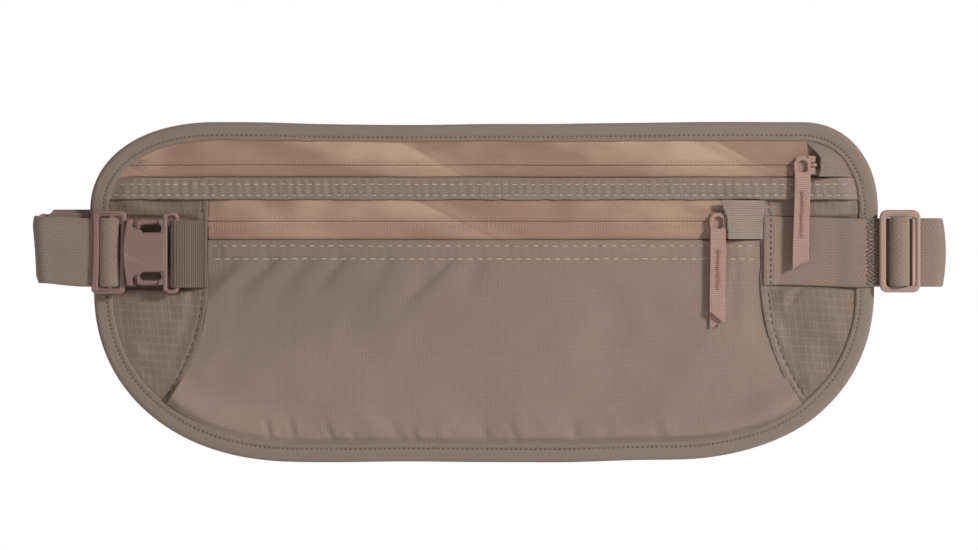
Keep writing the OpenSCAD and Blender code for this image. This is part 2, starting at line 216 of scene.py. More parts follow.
def warp(x, z):
    """The real edge isn't quite true: the top sags a little and the lower right rises."""
    sag = -1.1 * bump(x, -22, 62) * smooth(36, 47, z)
    lift = 0.8 * smooth(20, 90, x) * smooth(-60, -76, z)
    wave = 0.25 * soft(x * 0.035 + 3, z * 0.02) * smooth(20, 40, np.abs(z))
    return z + sag + lift + wave


def settle(d, inset, free=FREE_FROM):
    """Layers are pressed together where the binding grips them, and free from some way inside the outline."""
    back = PRESSED_BACK + (d - PRESSED_BACK) * 0.47
    front = PRESSED_FRONT + 0.35 * np.tanh((d - PRESSED_FRONT) / 1.6)
    grip = np.where(d < 4.5, back, front)
    return grip + (d - grip) * smooth(BINDING_W, free, inset)


# ---------- meshes ----------

def to_m(points):
    p = np.asarray(points, float)
    return np.column_stack([p[:, 0], -p[:, 1], p[:, 2]]) * MM


def place(name, data):
    ob = bpy.data.objects.new(name, data)
    scene.collection.objects.link(ob)
    return ob


def clean_up(mesh, merge=None):
    """Turns a mesh's faces outwards, after points closer than merge are joined."""
    bm = bmesh.new()
    bm.from_mesh(mesh)
    if merge:
        bmesh.ops.remove_doubles(bm, verts=bm.verts, dist=merge)
    bmesh.ops.recalc_face_normals(bm, faces=bm.faces)
    bm.to_mesh(mesh)
    bm.free()


def add_mesh(name, points, faces, material, along=None, flat=False):
    """A mesh object. along holds a value for each point that its material reads."""
    me = bpy.data.meshes.new(name)
    me.from_pydata(to_m(points).tolist(), [], faces)
    clean_up(me)
    if along is not None:
        attribute = me.attributes.new("along", "FLOAT_VECTOR", "POINT")
        attribute.data.foreach_set("vector", (np.asarray(along, float) * MM).astype(np.float32).ravel())
    me.polygons.foreach_set("use_smooth", [not flat] * len(me.polygons))
    me.materials.append(material)
    return place(name, me)


def grid_faces(rows, cols, start=0, flip=False):
    i = np.arange(rows - 1)[:, None] * cols + np.arange(cols - 1)[None, :] + start
    q = np.stack([i, i + 1, i + cols + 1, i + cols], -1).reshape(-1, 4)
    return (q[:, ::-1] if flip else q).tolist()


def loop_faces(rows, cols, wrap=False):
    """Quads between rows of points. Each row is a closed loop, and wrap joins the last row to the first."""
    i = np.arange(rows if wrap else rows - 1)[:, None]
    a, b = i * cols, (i + 1) % rows * cols
    j = np.arange(cols)[None, :]
    k = (j + 1) % cols
    return np.stack([a + j, a + k, b + k, b + j], -1).reshape(-1, 4).tolist()


def cloth(name, x, z, d, thick, material, along=None):
    """A closed sheet of cloth: x, z and d are grids for its middle."""
    rows, cols = x.shape
    z = warp(x, z)
    front = np.stack([x, d + thick / 2, z], -1).reshape(-1, 3)
    back = np.stack([x, d - thick / 2, z], -1).reshape(-1, 3)
    n = rows * cols
    faces = grid_faces(rows, cols) + grid_faces(rows, cols, n, True)
    rim = ([(0, j) for j in range(cols)] + [(i, cols - 1) for i in range(1, rows)]
           + [(rows - 1, j) for j in range(cols - 2, -1, -1)] + [(i, 0) for i in range(rows - 2, 0, -1)])
    ids = [i * cols + j for i, j in rim]
    for a, b in zip(ids, ids[1:] + ids[:1]):
        faces.append([a, b, b + n, a + n])
    if along is not None:
        flat = np.column_stack([np.ravel(along), np.zeros((rows * cols, 2))]) / MM
        along = np.vstack([flat, flat])
    return add_mesh(name, np.vstack([front, back]), faces, material, along)


def grid(z_values, left, right, cols):
    """Rows at the given heights, each spanning from left(z) to right(z)."""
    z = z_values[:, None]
    low, high = left(z), right(z)
    return low + (high - low) * np.linspace(0, 1, cols), np.repeat(z, cols, 1)


def full_width(z_values, inset, cols):
    """Rows that span the whole pouch, up to an inset from its outline."""
    return grid(z_values, lambda z: -half_width(z, -1, inset), lambda z: half_width(z, 1, inset), cols)


def resample(path, step, soften=0.0):
    """Evenly spaced points along a path, with its bends softened."""
    p = np.asarray(path, float)
    s = lengths(p)
    n = max(2, int(math.ceil(s[-1] / step)) + 1)
    t = np.linspace(0, s[-1], n)
    q = np.column_stack([np.interp(t, s, p[:, k]) for k in range(p.shape[1])])
    for _ in range(int(soften * (0.6 / step) ** 2)):
        q[1:-1] = (q[:-2] + 2 * q[1:-1] + q[2:]) / 4
    return q


def arc(x, d, r, start, stop, n=16):
    a = np.radians(np.linspace(start, stop, n + 1))
    return columns(x + r * np.cos(a), d + r * np.sin(a)).tolist()


def web(name, path, width, thick, material, zc=0.0, step=0.8, soften=4, ribs=None, across=None,
        shape=None, edge=0.5, cols=22):
    """A webbing strip that follows a path in x and d. ribs is (pitch, height) of ribs that cross the strip,
    across the same for ribs along it. shape(x, d, z, s) moves the points, at length s along the path."""
    p = resample(path, step, soften)
    t = unit(np.gradient(p, axis=0))
    normal = columns(-t[:, 1], t[:, 0])
    s = lengths(p)
    h = width / 2
    inner = np.linspace(-h + edge, h - edge, cols)
    lip = edge * (1 - np.array([1.0, 0.92, 0.7, 0.38, 0.1]))
    v = np.concatenate([-h + lip, inner, (h - lip)[::-1]])
    over = np.clip((np.abs(v) - (h - edge)) / edge, 0, 1)
    round_off = np.sqrt(np.maximum(0.02, 1 - over ** 2))
    half = thick / 2 * round_off[None, :] * np.ones((len(p), 1))
    for rib, at in ((ribs, s[:, None]), (across, v[None, :])):
        if rib:
            half = half + rib[1] * (np.abs(np.sin(np.pi * at / rib[0])) - 0.5) * round_off[None, :]
    rings, along = [], []
    for sign in (1, -1):
        x = p[:, :1] + sign * normal[:, :1] * half
        d = p[:, 1:] + sign * normal[:, 1:] * half
        ring = np.stack([x, d, np.broadcast_to(v + zc, x.shape)], -1)
        a = np.stack(np.broadcast_arrays(s[:, None], v[None, :], np.full_like(x, sign)), -1)
        rings.append(ring[:, ::sign])
        along.append(a[:, ::sign])
    ring = np.concatenate(rings, 1)
    along = np.concatenate(along, 1).reshape(-1, 3)
    if shape:
        ring = np.stack(shape(*np.moveaxis(ring, -1, 0), s[:, None]), -1)
    rows, around = ring.shape[:2]
    faces = loop_faces(rows, around)
    last = (rows - 1) * around
    for a in range(len(v) - 1):
        cap = [a, a + 1, around - 2 - a, around - 1 - a]
        faces += [cap, [last + c for c in cap]]
    return add_mesh(name, ring.reshape(-1, 3), faces, material, along)


def threads(name, starts, stops, normals, radius, arch, material, sides=6, rings=7, sink=0.6):
    """Many short stitches as one piece: each is a bead of thread that rises out of the cloth and dips back."""
    p0, p1 = np.asarray(starts, float), np.asarray(stops, float)
    n = unit(np.broadcast_to(np.asarray(normals, float), p0.shape))
    along = p1 - p0
    b = np.cross(unit(along), n)
    u = np.linspace(0, 1, rings)
    rise = np.sin(np.pi * u) ** 0.6
    width = 0.35 + 0.65 * np.sin(np.pi * u) ** 0.5
    a = (np.arange(sides) * 2 * math.pi / sides)[None, None, :, None]
    height = (arch + sink * radius) * rise - sink * radius
    centre = p0[:, None, :] + along[:, None, :] * u[None, :, None] + n[:, None, :] * height[None, :, None]
    offset = np.cos(a) * b[:, None, None, :] + np.sin(a) * n[:, None, None, :]
    points = centre[:, :, None, :] + offset * (radius * width)[None, :, None, None]
    first = np.arange(len(p0)) * rings * sides
    faces = (np.asarray(loop_faces(rings, sides))[None] + first[:, None, None]).reshape(-1, 4).tolist()
    for c in first.tolist():
        end = c + (rings - 1) * sides
        faces += [list(range(c, c + sides)), list(range(end, end + sides))[::-1]]
    return add_mesh(name, points.reshape(-1, 3), faces, material)


def tube(name, points, radius, material, sides=8, squash_d=1.0):
    """A round cord along points (x, d, z)."""
    p = np.asarray(points, float)
    t = unit(np.gradient(p, axis=0))
    b = unit(np.cross(t, [0, 1.0, 0]))
    n = np.cross(b, t)
    a = (np.arange(sides) * 2 * math.pi / sides)[None, :, None]
    ring = p[:, None, :] + radius * (np.cos(a) * b[:, None, :] + squash_d * np.sin(a) * n[:, None, :])
    last = (len(p) - 1) * sides
    faces = loop_faces(len(p), sides) + [list(range(sides))[::-1], list(range(last, last + sides))]
    return add_mesh(name, ring.reshape(-1, 3), faces, material)


def bar(x, d, z0, z1, n, radius, material, sides=16):
    """A straight round bar along z."""
    return tube("bar", columns(x, d, np.linspace(z0, z1, n)), radius, material, sides)


def hard_piece(name, mesh, material):
    """An object with crisp rounded edges out of a mesh."""
    mesh.materials.clear()
    mesh.materials.append(material)
    mesh.polygons.foreach_set("use_smooth", [True] * len(mesh.polygons))
    ob = place(name, mesh)
    ob.modifiers.new("edges", "WEIGHTED_NORMAL").keep_sharp = False
    return ob


def plate(loops, d0, d1, bevel, material, steps=3):
    """A moulded or stamped plate between two depths, with rounded edges: an outline, then its holes."""
    cu = bpy.data.curves.new("plate", "CURVE")
    cu.dimensions, cu.fill_mode = "2D", "BOTH"
    cu.extrude = ((d1 - d0) / 2 - bevel) * MM
    cu.bevel_depth, cu.bevel_resolution, cu.offset = bevel * MM, steps, -bevel * MM
    for loop in loops:
        sp = cu.splines.new("POLY")
        sp.points.add(len(loop) - 1)
        for q, (x, z) in zip(sp.points, loop):
            q.co = (x * MM, z * MM, 0, 1)
        sp.use_cyclic_u = True
    tmp = place("plate", cu)
    bpy.context.view_layer.update()
    me = bpy.data.meshes.new_from_object(tmp.evaluated_get(bpy.context.evaluated_depsgraph_get()))
    bpy.data.objects.remove(tmp)
    co = np.zeros(len(me.vertices) * 3)
    me.vertices.foreach_get("co", co)
    co = co.reshape(-1, 3)
    me.vertices.foreach_set("co", columns(co[:, 0], -co[:, 2] - (d0 + d1) / 2 * MM, co[:, 1]).ravel())
    clean_up(me, 2e-6)
    return hard_piece("plate", me, material)


def rounded(points, radii, n=6):
    """A polygon with each corner rounded by its own radius."""
    out = []
    m = len(points)
    for i in range(m):
        a, p, b = (np.asarray(points[k % m], float) for k in (i - 1, i, i + 1))
        r = radii if np.isscalar(radii) else radii[i]
        u, v = a - p, b - p
        lu, lv = np.linalg.norm(u), np.linalg.norm(v)
        u, v = u / lu, v / lv
        angle = math.acos(max(-1, min(1, float(u @ v))))
        if angle > math.pi - 0.02:
            out.append(p.tolist())
            continue
        cut = min(r / math.tan(angle / 2), lu * 0.49, lv * 0.49)
        for t in np.arange(n + 1) / n:
            out.append(((p + u * cut) * (1 - t) ** 2 + p * 2 * t * (1 - t) + (p + v * cut) * t ** 2).tolist())
    return out


def rect(x0, x1, z0, z1, radius, n=6):
    """A rectangle with rounded corners."""
    return rounded([[x0, z0], [x1, z0], [x1, z1], [x0, z1]], radius, n)


def mirrored(loop, side):
    """The loop itself, or turned over in z, still drawn the same way round."""
    return loop if side > 0 else [[x, -z] for x, z in loop][::-1]


def join(name, objects):
    """One piece out of several closed shells."""
    bm = bmesh.new()
    for o in objects:
        bm.from_mesh(o.data)
    out = bpy.data.meshes.new(name)
    bm.to_mesh(out)
    bm.free()
    material = objects[0].data.materials[0]
    for o in objects:
        bpy.data.objects.remove(o)
    return hard_piece(name, out, material)


def move_verts(ob, change):
    """Moves a piece's points in working units by change(x, d, z)."""
    me = ob.data
    co = np.zeros(len(me.vertices) * 3)
    me.vertices.foreach_get("co", co)
    co = co.reshape(-1, 3) / MM
    me.vertices.foreach_set("co", to_m(columns(*change(co[:, 0], -co[:, 1], co[:, 2]))).ravel())
    me.update()


# ---------- materials ----------

def srgb(r, g, b):
    """A colour from its 8-bit values, none of them near black."""
    return tuple(((c / 255 + 0.055) / 1.055) ** 2.4 for c in (r, g, b)) + (1,)


def shade(colour, k):
    return tuple(min(1, c * k) for c in colour[:3]) + (1,)


class Nodes:
    """A material under construction, with short names for the nodes that the weaves and grains are made of."""

    def __init__(self, name, colour=None):
        self.colour, self.tone = colour, colour
        self.mat = bpy.data.materials.new(name)
        self.mat.use_nodes = True
        self.t = self.mat.node_tree
        self.t.nodes.clear()
        self.surface = self.make("BsdfPrincipled")
        self.make("OutputMaterial", Surface=self.surface.outputs[0])

    def put(self, socket, value):
        """Links or sets an input, or leaves it as it is for None."""
        if isinstance(value, bpy.types.NodeSocket):
            self.t.links.new(value, socket)
        elif value is not None:
            socket.default_value = value

    def make(self, kind, **inputs):
        node = self.t.nodes.new("ShaderNode" + kind)
        for name, value in inputs.items():
            self.put(node.inputs[name], value)
        return node

    def math(self, op, a, b=None, c=None, clamp=False):
        n = self.make("Math")
        n.operation, n.use_clamp = op, clamp
        for socket, value in zip(n.inputs, (a, b, c)):
            self.put(socket, value)
        return n.outputs[0]

    def coords(self, attribute=None):
        """A vector and its three parts: the place on the object, or what the mesh holds as that attribute."""
        if attribute:
            n = self.make("Attribute")
            n.attribute_name = attribute
            v = n.outputs["Vector"]
        else:
            v = self.make("TexCoord").outputs["Object"]
        return v, self.make("SeparateXYZ", Vector=v).outputs

    def mul(self, a, b, clamp=False):
        return self.math("MULTIPLY", a, b, clamp=clamp)

    def add(self, a, b, clamp=False):
        return self.math("ADD", a, b, clamp=clamp)

    def scaled(self, value, gain, offset, clamp=False):
        return self.math("MULTIPLY_ADD", value, gain, offset, clamp)

    def noise(self, vector, scale, detail=3, rough=0.55, stretch=None):
        if stretch:
            m = self.make("VectorMath")
            m.operation = "MULTIPLY"
            self.put(m.inputs[0], vector)
            self.put(m.inputs[1], stretch)
            vector = m.outputs[0]
        return self.make("TexNoise", Vector=vector, Scale=scale, Detail=detail, Roughness=rough).outputs["Fac"]

    def lines(self, value, pitch, width, softness=0.6):
        """1 on thin lines that repeat every pitch metres, 0 between them."""
        f = self.math("FRACT", self.math("DIVIDE", value, pitch))
        f = self.math("ABSOLUTE", self.math("SUBTRACT", f, 0.5))
        return self.mul(self.math("SUBTRACT", f, 0.5 - width), 1 / (width * softness), clamp=True)

    def wave(self, value, pitch):
        """Rises and falls between 0 and 1 once every pitch metres."""
        return self.scaled(self.math("SINE", self.mul(value, 2 * math.pi / pitch)), 0.5, 0.5)

    def staggered(self, along, across, pitch, row_pitch, shift):
        """Small loops in rows, with every other row shifted."""
        row = self.math("FLOOR", self.math("DIVIDE", across, row_pitch))
        along = self.add(along, self.mul(self.math("MODULO", row, 2.0), shift))
        return self.mul(self.wave(along, pitch), self.wave(across, row_pitch))

    # pointy edges: real chips of wear on the enamel, a painted highlight on the plastic
    def edge_chips_and_highlight(self, gain, offset):
        return self.scaled(self.make("NewGeometry").outputs["Pointiness"], gain, offset, clamp=True)

    def mix(self, fac, a, b):
        n = self.make("Mix")
        n.data_type = "RGBA"
        for socket, value in ((0, fac), (6, a), (7, b)):
            self.put(n.inputs[socket], value)
        return n.outputs[2]

    def clouds(self, vector, scale, detail, low, high):
        """Lets the tone drift between a darker and a lighter shade of the colour."""
        darker, lighter = shade(self.colour, low), shade(self.colour, high)
        self.tone = self.mix(self.noise(vector, scale, detail), darker, lighter)

    def tint(self, mask, amount, k, clamp=False):
        """Brings another shade of the colour into the tone where the mask is high."""
        self.tone = self.mix(self.mul(mask, amount, clamp), self.tone, shade(self.colour, k))

    def weighed(self, a, share, b, rest):
        return self.add(self.mul(a, share), self.mul(b, rest))

    def bump(self, height, strength, distance):
        return self.make("Bump", Strength=strength, Distance=distance, Height=height).outputs[0]

    def done(self, rough, normal=None, sheen=0.0, spec=0.3, coat=0.0):
        values = {"Base Color": self.tone, "Roughness": rough, "Normal": normal, "Sheen Weight": sheen,
                  "Specular IOR Level": spec, "Coat Weight": coat}
        for name, value in values.items():
            self.put(self.surface.inputs[name], value)
        return self.mat


def ripstop(name, colour, pitch_x, pitch_z, line, tilt=0.0):
    """Light plain weave with heavier threads in a grid, with painted shade and painted light where its along
    value says so.
    """
    n = Nodes(name, colour)
    yarn = 0.00042
    v, (x, _, z) = n.coords()
    wobble = n.mul(n.math("SUBTRACT", n.noise(v, 60, 2), 0.5), 0.0016)
    rows = n.lines(n.add(n.scaled(x, tilt * 0.5, z), wobble), pitch_z, 0.13)
    cols = n.lines(n.add(n.scaled(z, tilt, x), wobble), pitch_x, 0.11)
    cols = n.mul(cols, n.scaled(n.noise(v, 220, 3, 0.6, (0.35, 1, 1.4)), 1.8, 0.0, clamp=True))
    rows = n.mul(rows, n.scaled(n.noise(v, 160, 2), 1.4, 0.1, clamp=True))
    ribs = n.math("MAXIMUM", rows, cols)
    weave = n.mul(n.wave(x, yarn), n.wave(z, yarn))
    streak = n.scaled(n.noise(v, 1500, 1, 0.5, (1, 1, 0.1)), 3.0, -1.2, clamp=True)
    _, (painted_light_and_shade, _, _) = n.coords("along")
    n.clouds(v, 22, 4, 0.93, 1.07)
    n.tint(streak, line * 0.5, 1.3)
    n.tint(ribs, line, 1.4)
    n.tint(weave, 0.2, 0.72)
    # painted shade where the along value is above zero, painted light where it is below
    n.tint(painted_light_and_shade, 1.0, 0.82, clamp=True)
    n.tint(painted_light_and_shade, -1.0, 1.16, clamp=True)
    normal = n.bump(n.weighed(ribs, 0.6, weave, 0.35), 0.6, 0.00016)
    return n.done(n.scaled(n.noise(v, 90, 3), 0.16, 0.5), normal, sheen=0.12, spec=0.35)


def tape_cloth(name, colour, sheen_colour, pitch=0.0009):
    """Zip tape: fine diagonal twill with a painted sheen, dusky where the tape turns from the light and warm and
    lighter where it faces it.
    """
    n = Nodes(name, colour)
    v, (x, _, z) = n.coords()
    _, (painted_sheen, _, _) = n.coords("along")
    twill = n.wave(n.weighed(x, 0.8, z, 1.0), pitch)
    areas = n.scaled(n.noise(v, 45, 2, 0.4, (1, 1, 1.3)), 0.8, -0.4)
    # painted sheen: the along value mixes the dusky colour towards the lighter warm one
    n.tone = n.mix(n.add(painted_sheen, areas, clamp=True), colour, sheen_colour)
    n.tint(twill, 0.34, 0.66)
    n.tone = n.mix(n.mul(n.noise(v, 900, 2), 0.12), n.tone, shade(sheen_colour, 1.2))
    height = n.weighed(twill, 0.7, n.wave(z, pitch * 0.6), 0.3)
    return n.done(0.72, n.bump(height, 0.55, 0.00014), sheen=0.2, spec=0.25)


def woven_band(name, colour, attribute, pitch, depth=0.4):
    """Closely woven tape: tiny ribs with a soft surface."""
    n = Nodes(name, colour)
    _, (x, y, z) = n.coords(attribute)
    o, _ = n.coords()
    ribs, yarn = n.wave(x, pitch), n.wave(y if attribute else z, pitch * 1.3)
    n.clouds(o, 40, 3, 0.94, 1.06)
    n.tint(ribs, 0.16, 0.8)
    n.tint(n.noise(o, 1500, 2), 0.14, 1.25)
    return n.done(0.78, n.bump(n.weighed(ribs, 0.6, yarn, 0.4), depth, 0.0001), sheen=0.22, spec=0.22)


def elastic_cloth(name, colour):
    """Knitted elastic: columns of small loops across the strap, with a plain woven edge."""
    n = Nodes(name, colour)
    _, (s, w, _) = n.coords("along")
    o, _ = n.coords()
    loops = n.mul(n.staggered(s, w, 0.0014, 0.0011, 0.0007), n.scaled(n.noise(o, 420, 2), 1.6, 0.2))
    plain = n.math("GREATER_THAN", n.math("ABSOLUTE", w), 0.0113)
    pattern = n.weighed(loops, 0.75, n.wave(s, 0.0007), 0.25)
    pattern = n.mul(pattern, n.math("SUBTRACT", 1.0, n.mul(plain, 0.8)))
    n.clouds(o, 60, 3, 0.94, 1.06)
    n.tint(pattern, 0.55, 1.4)
    n.tint(n.noise(o, 1300, 2), 0.2, 0.72)
    return n.done(0.85, n.bump(pattern, 0.6, 0.0002), sheen=0.25, spec=0.2)


def ribbed(name, colour, dark, axis, pitch):
    """Grosgrain: the ribs themselves are in the mesh, pitch mm apart, and their fine weave is here, with painted
    shade in the valleys between the ribs.
    """
    n = Nodes(name, colour)
    _, (s, w, _) = n.coords("along")
    o, _ = n.coords()
    main, other = (s, w) if axis == "s" else (w, s)
    valley = n.math("ABSOLUTE", n.math("SINE", n.mul(main, math.pi / (pitch * MM))))
    valley = n.math("POWER", n.math("SUBTRACT", 1.0, valley), 1.4)
    yarn = n.wave(other, 0.00035)
    n.clouds(o, 120, 3, 0.95, 1.06)
    # painted shade in the valleys between the ribs
    n.tint(valley, 0.9, dark * 0.62)
    n.tint(yarn, 0.2, dark)
    n.tint(n.noise(o, 1200, 2), 0.25, 1.3)
    return n.done(0.8, n.bump(yarn, 0.4, 0.00008), sheen=0.2, spec=0.22)


def moulded(name, colour):
    """Moulded plastic with a fine matt grain and a painted highlight that makes its edges paler."""
    n = Nodes(name, colour)
    o, _ = n.coords()
    grain = n.noise(o, 2600, 3, 0.6)
    n.clouds(o, 90, 3, 0.96, 1.04)
    # painted highlight on the rounded edges
    n.tint(n.edge_chips_and_highlight(9.0, -4.55), 0.75, 1.65)
    n.tint(grain, 0.1, 0.8)
    return n.done(n.scaled(n.noise(o, 300, 3), 0.14, 0.42), n.bump(grain, 0.12, 0.00004), spec=0.4)


def enamel(name, colour):
    """Baked enamel on zinc: satin, with tiny chips of darker metal along its edges."""
    n = Nodes(name, colour)
    o, _ = n.coords()
    chips = n.mul(n.edge_chips_and_highlight(12.0, -6.3), n.scaled(n.noise(o, 1800, 3), 4.0, -2.1, clamp=True))
    n.clouds(o, 400, 3, 0.95, 1.05)
    n.tint(chips, 0.7, 0.55)
    rough = n.scaled(n.noise(o, 500, 2), 0.12, 0.34)
    return n.done(rough, n.bump(n.noise(o, 1500, 2), 0.06, 0.00003), spec=0.5, coat=0.15)


def mesh_cloth(name, colour):
    """Wicking knit for the back: rows of tiny open loops."""
    n = Nodes(name, colour)
    v, (x, _, z) = n.coords()
    holes = n.scaled(n.staggered(x, z, 0.0016, 0.0011, 0.0008), 2.4, -1.1, clamp=True)
    n.clouds(v, 18, 3, 0.93, 1.07)
    n.tint(holes, 0.55, 0.5)
    n.tint(n.noise(v, 1200, 2), 0.2, 1.25)
    return n.done(0.88, n.bump(n.math("SUBTRACT", 1.0, holes), 0.6, 0.00025), sheen=0.3, spec=0.18)


def thread(name, colour):
    """Twisted sewing thread."""
    n = Nodes(name, colour)
    o, (x, _, z) = n.coords()
    twist = n.wave(n.add(x, z), 0.0004)
    n.clouds(o, 900, 3, 0.85, 1.15)
    n.tint(twist, 0.25, 0.7)
    return n.done(0.6, n.bump(twist, 0.4, 0.00005), sheen=0.2, spec=0.3)


def coil_wire(name, colour):
    """Smooth nylon wire of the zips' coils."""
    n = Nodes(name, colour)
    o, _ = n.coords()
    n.clouds(o, 700, 3, 0.9, 1.1)
    return n.done(0.4, n.bump(n.noise(o, 2500, 2), 0.1, 0.00003), spec=0.45)


TAB_RIB, LOOP_RIB, RIBBON_RIB = 0.81, 0.95, 0.8
M = {
    "panel": ripstop("panel_ripstop", srgb(146, 125, 109), 0.0014, 0.0016, 0.24),
    "strip": ripstop("strip_ripstop", srgb(139, 120, 105), 0.0014, 0.0016, 0.24),
    "wing": ripstop("wing_ripstop", srgb(128, 109, 95), 0.0026, 0.0030, 0.62, tilt=0.13),
    "lining": woven_band("lining_cloth", srgb(120, 105, 92), None, 0.0005),
    "mesh": mesh_cloth("wicking_mesh", srgb(133, 118, 104)),
    "binding": woven_band("binding_tape", srgb(139, 121, 108), "along", 0.0006, 0.35),
    "tape": tape_cloth("zip_tape", srgb(156, 122, 104), srgb(198, 168, 144)),
    "tick": thread("tape_stitch", srgb(174, 142, 121)),
    "coil": coil_wire("zip_coil", srgb(176, 152, 134)),
    "tab": ribbed("tab_grosgrain", srgb(160, 140, 125), 0.7, "w", TAB_RIB),
    # the upper tab's grosgrain is a darker copy of the tab's: painted shade
    "shaded_tab": ribbed("shaded_tab_grosgrain", srgb(142, 123, 109), 0.7, "w", TAB_RIB),
    "loop": ribbed("loop_grosgrain", srgb(119, 102, 90), 0.6, "s", LOOP_RIB),
    "pull": ribbed("pull_ribbon", srgb(184, 150, 136), 0.72, "s", RIBBON_RIB),
    "cream": thread("cream_thread", srgb(204, 182, 155)),
    "dark": thread("dark_thread", srgb(86, 74, 66)),
    # thread darker than the binding: painted shade of the binding's stitch holes
    "seam": thread("seam_thread", srgb(118, 102, 90)),
    "tack": thread("tack_thread", srgb(168, 122, 112)),
    "enamel": enamel("slider_enamel", srgb(172, 140, 124)),
    "buckle": moulded("buckle_plastic", srgb(139, 110, 104)),
    "adjuster": moulded("adjuster_plastic", srgb(170, 142, 128)),
    "elastic": elastic_cloth("elastic_cloth", srgb(141, 121, 107)),
}


def give(ob, body, slot, *nodes):
    """Rides the piece on its body and hides the CAD nodes that it stands for. The slot is not used."""
    if body:
        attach(ob, body)
    if nodes:
        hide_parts(*nodes)
    return ob


# ---------- camera, light, floor ----------
VIEW_W = 361.9 * MM
AIM = Vector((1.85 * MM, 0, -8.35 * MM))
DISTANCE, FACE_D, SENSOR = 1.6, 0.007, 36
cam_data = bpy.data.cameras.new("camera")
cam = place("camera", cam_data)
scene.camera = cam
cam_data.sensor_width = SENSOR
cam_data.lens = SENSOR * (DISTANCE - FACE_D) / VIEW_W
cam.location = AIM + Vector((0, -DISTANCE, 0))
cam.rotation_euler = (math.pi / 2, 0, 0)
cam_data.clip_start, cam_data.clip_end = 0.05, 50


def area(name, where, size, power):
    """A round light that faces the middle of the belt."""
    light = bpy.data.lights.new(name, "AREA")
    light.shape, light.size, light.energy = "DISK", size, power
    ob = place(name, light)
    ob.location = where
    ob.rotation_mode = "QUATERNION"
    ob.rotation_quaternion = (-Vector(where)).to_track_quat("-Z", "Y")


area("key", (1.2, -1.0, 0.6), 0.3, 21)
area("fill", (-1.2, -1.5, 0.6), 1.4, 4)
area("back_light", (-0.6, 1.6, 0.9), 1.2, 22)


def studio(lit_strength, seen_strength):
    """A white world that looks brighter to the camera than the light it gives."""
    world = bpy.data.worlds.new("studio")
    scene.world = world
    world.use_nodes = True
    nodes, link = world.node_tree.nodes, world.node_tree.links.new
    mixer = nodes.new("ShaderNodeMixShader")
    link(nodes.new("ShaderNodeLightPath").outputs["Is Camera Ray"], mixer.inputs[0])
    shown = nodes["Background"], nodes.new("ShaderNodeBackground")
    for slot, (background, strength) in enumerate(zip(shown, (lit_strength, seen_strength)), 1):
        background.inputs[0].default_value = (1, 1, 1, 1)
        background.inputs[1].default_value = strength
        link(background.outputs[0], mixer.inputs[slot])
    link(mixer.outputs[0], nodes["World Output"].inputs[0])


studio(0.2, 1.0)
scene.view_settings.view_transform = "Standard"
scene.view_settings.look = "None"


def paper(name):
    n = Nodes(name)
    v, _ = n.coords()
    n.tone = n.mix(n.noise(v, 6, 2), (0.9, 0.9, 0.9, 1), (0.93, 0.93, 0.93, 1))
    return n.done(0.9, spec=0.1)


FLOOR_Z = -300.0
corners = [[x, d, FLOOR_Z] for x, d in ((-900, -900), (900, -900), (900, 900), (-900, 900))]
floor = add_mesh("floor", corners, [[0, 1, 2, 3]], paper("floor_paper"), flat=True)


# ---------- pouch: layers ----------

STITCH_STRIP = (STRIP_LOW + 1.55, STRIP_HIGH - 2.4)
STITCH_HEM = (HEM_TOP - 2.1, HEM_TOP - 6.9)
HEM_FOOT = STITCH_HEM[1] + 0.5
SEAM_STITCH = {-1: 1.7, 1: 2.8}
SEAM_FOOT = -58.2
STRAP_EDGE = 14.2


def pleats(x, z, pitch, seed):
    """Small puckers that stand across a row of stitches, a little uneven."""
    drift = 2.4 * soft(x * 0.07 + seed, z * 0.05)
    regular = np.sin(2 * np.pi * x / pitch + drift + 0.25 * z)
    return regular * (0.62 + 0.38 * fine(x * 0.21 + seed, z * 0.1)) + 0.7 * pucker(x * 0.52, z * 0.12 + seed)


def crease(x, z, x0, z0, dx, dz, width):
    """A fold that starts sharp at (x0, z0) and fades along (dx, dz)."""
    length = math.hypot(dx, dz)
    ux, uz = dx / length, dz / length
    along = (x - x0) * ux + (z - z0) * uz
    across = (x - x0) * uz - (z - z0) * ux + 0.9 * soft(along * 0.12 + x0, 0 * along + z0)
    spread = width * (0.7 + 0.9 * np.clip(along / length, 0, 1.2))
    return np.exp(-(across / spread) ** 2) * smooth(-2, 6, along) * smooth(length, length * 0.4, along)


def make_creases():
    """Creases under the hem: where each starts, how it leans, its reach, its width and its depth."""
    pick = random.Random(5)
    out, x = [], 12 - SEAM
    while x < 14:
        left = 1 - (x + SEAM) / (SEAM + 14)
        out.append((x, pick.uniform(0.75, 1.15) + 0.45 * left, (0.45 + 0.55 * left) * pick.uniform(20, 42),
                    pick.uniform(1.8, 4.2), (0.5 + 0.5 * left) * pick.uniform(0.8, 1.6)))
        x += pick.uniform(6, 18)
    return out


def make_tucks():
    """Short tucks that rise from the lower binding."""
    pick = random.Random(8)
    out, x = [], 24 - SEAM
    while x < 72:
        out.append((x, *(pick.uniform(*limits) for limits in ((2, 7), (8, 14), (0.9, 1.8), (0.3, 0.65)))))
        x += pick.uniform(7, 24)
    return out


PANEL_TUCKS = make_tucks()
PANEL_CREASES = make_creases()


def under_pulls(d):
    """Presses high folds down softly, so that a ribbon can pass over them."""
    top = PULL_CLEARANCE
    return np.where(d > top, top + 0.5 * np.tanh((d - top) / 1.2), d)


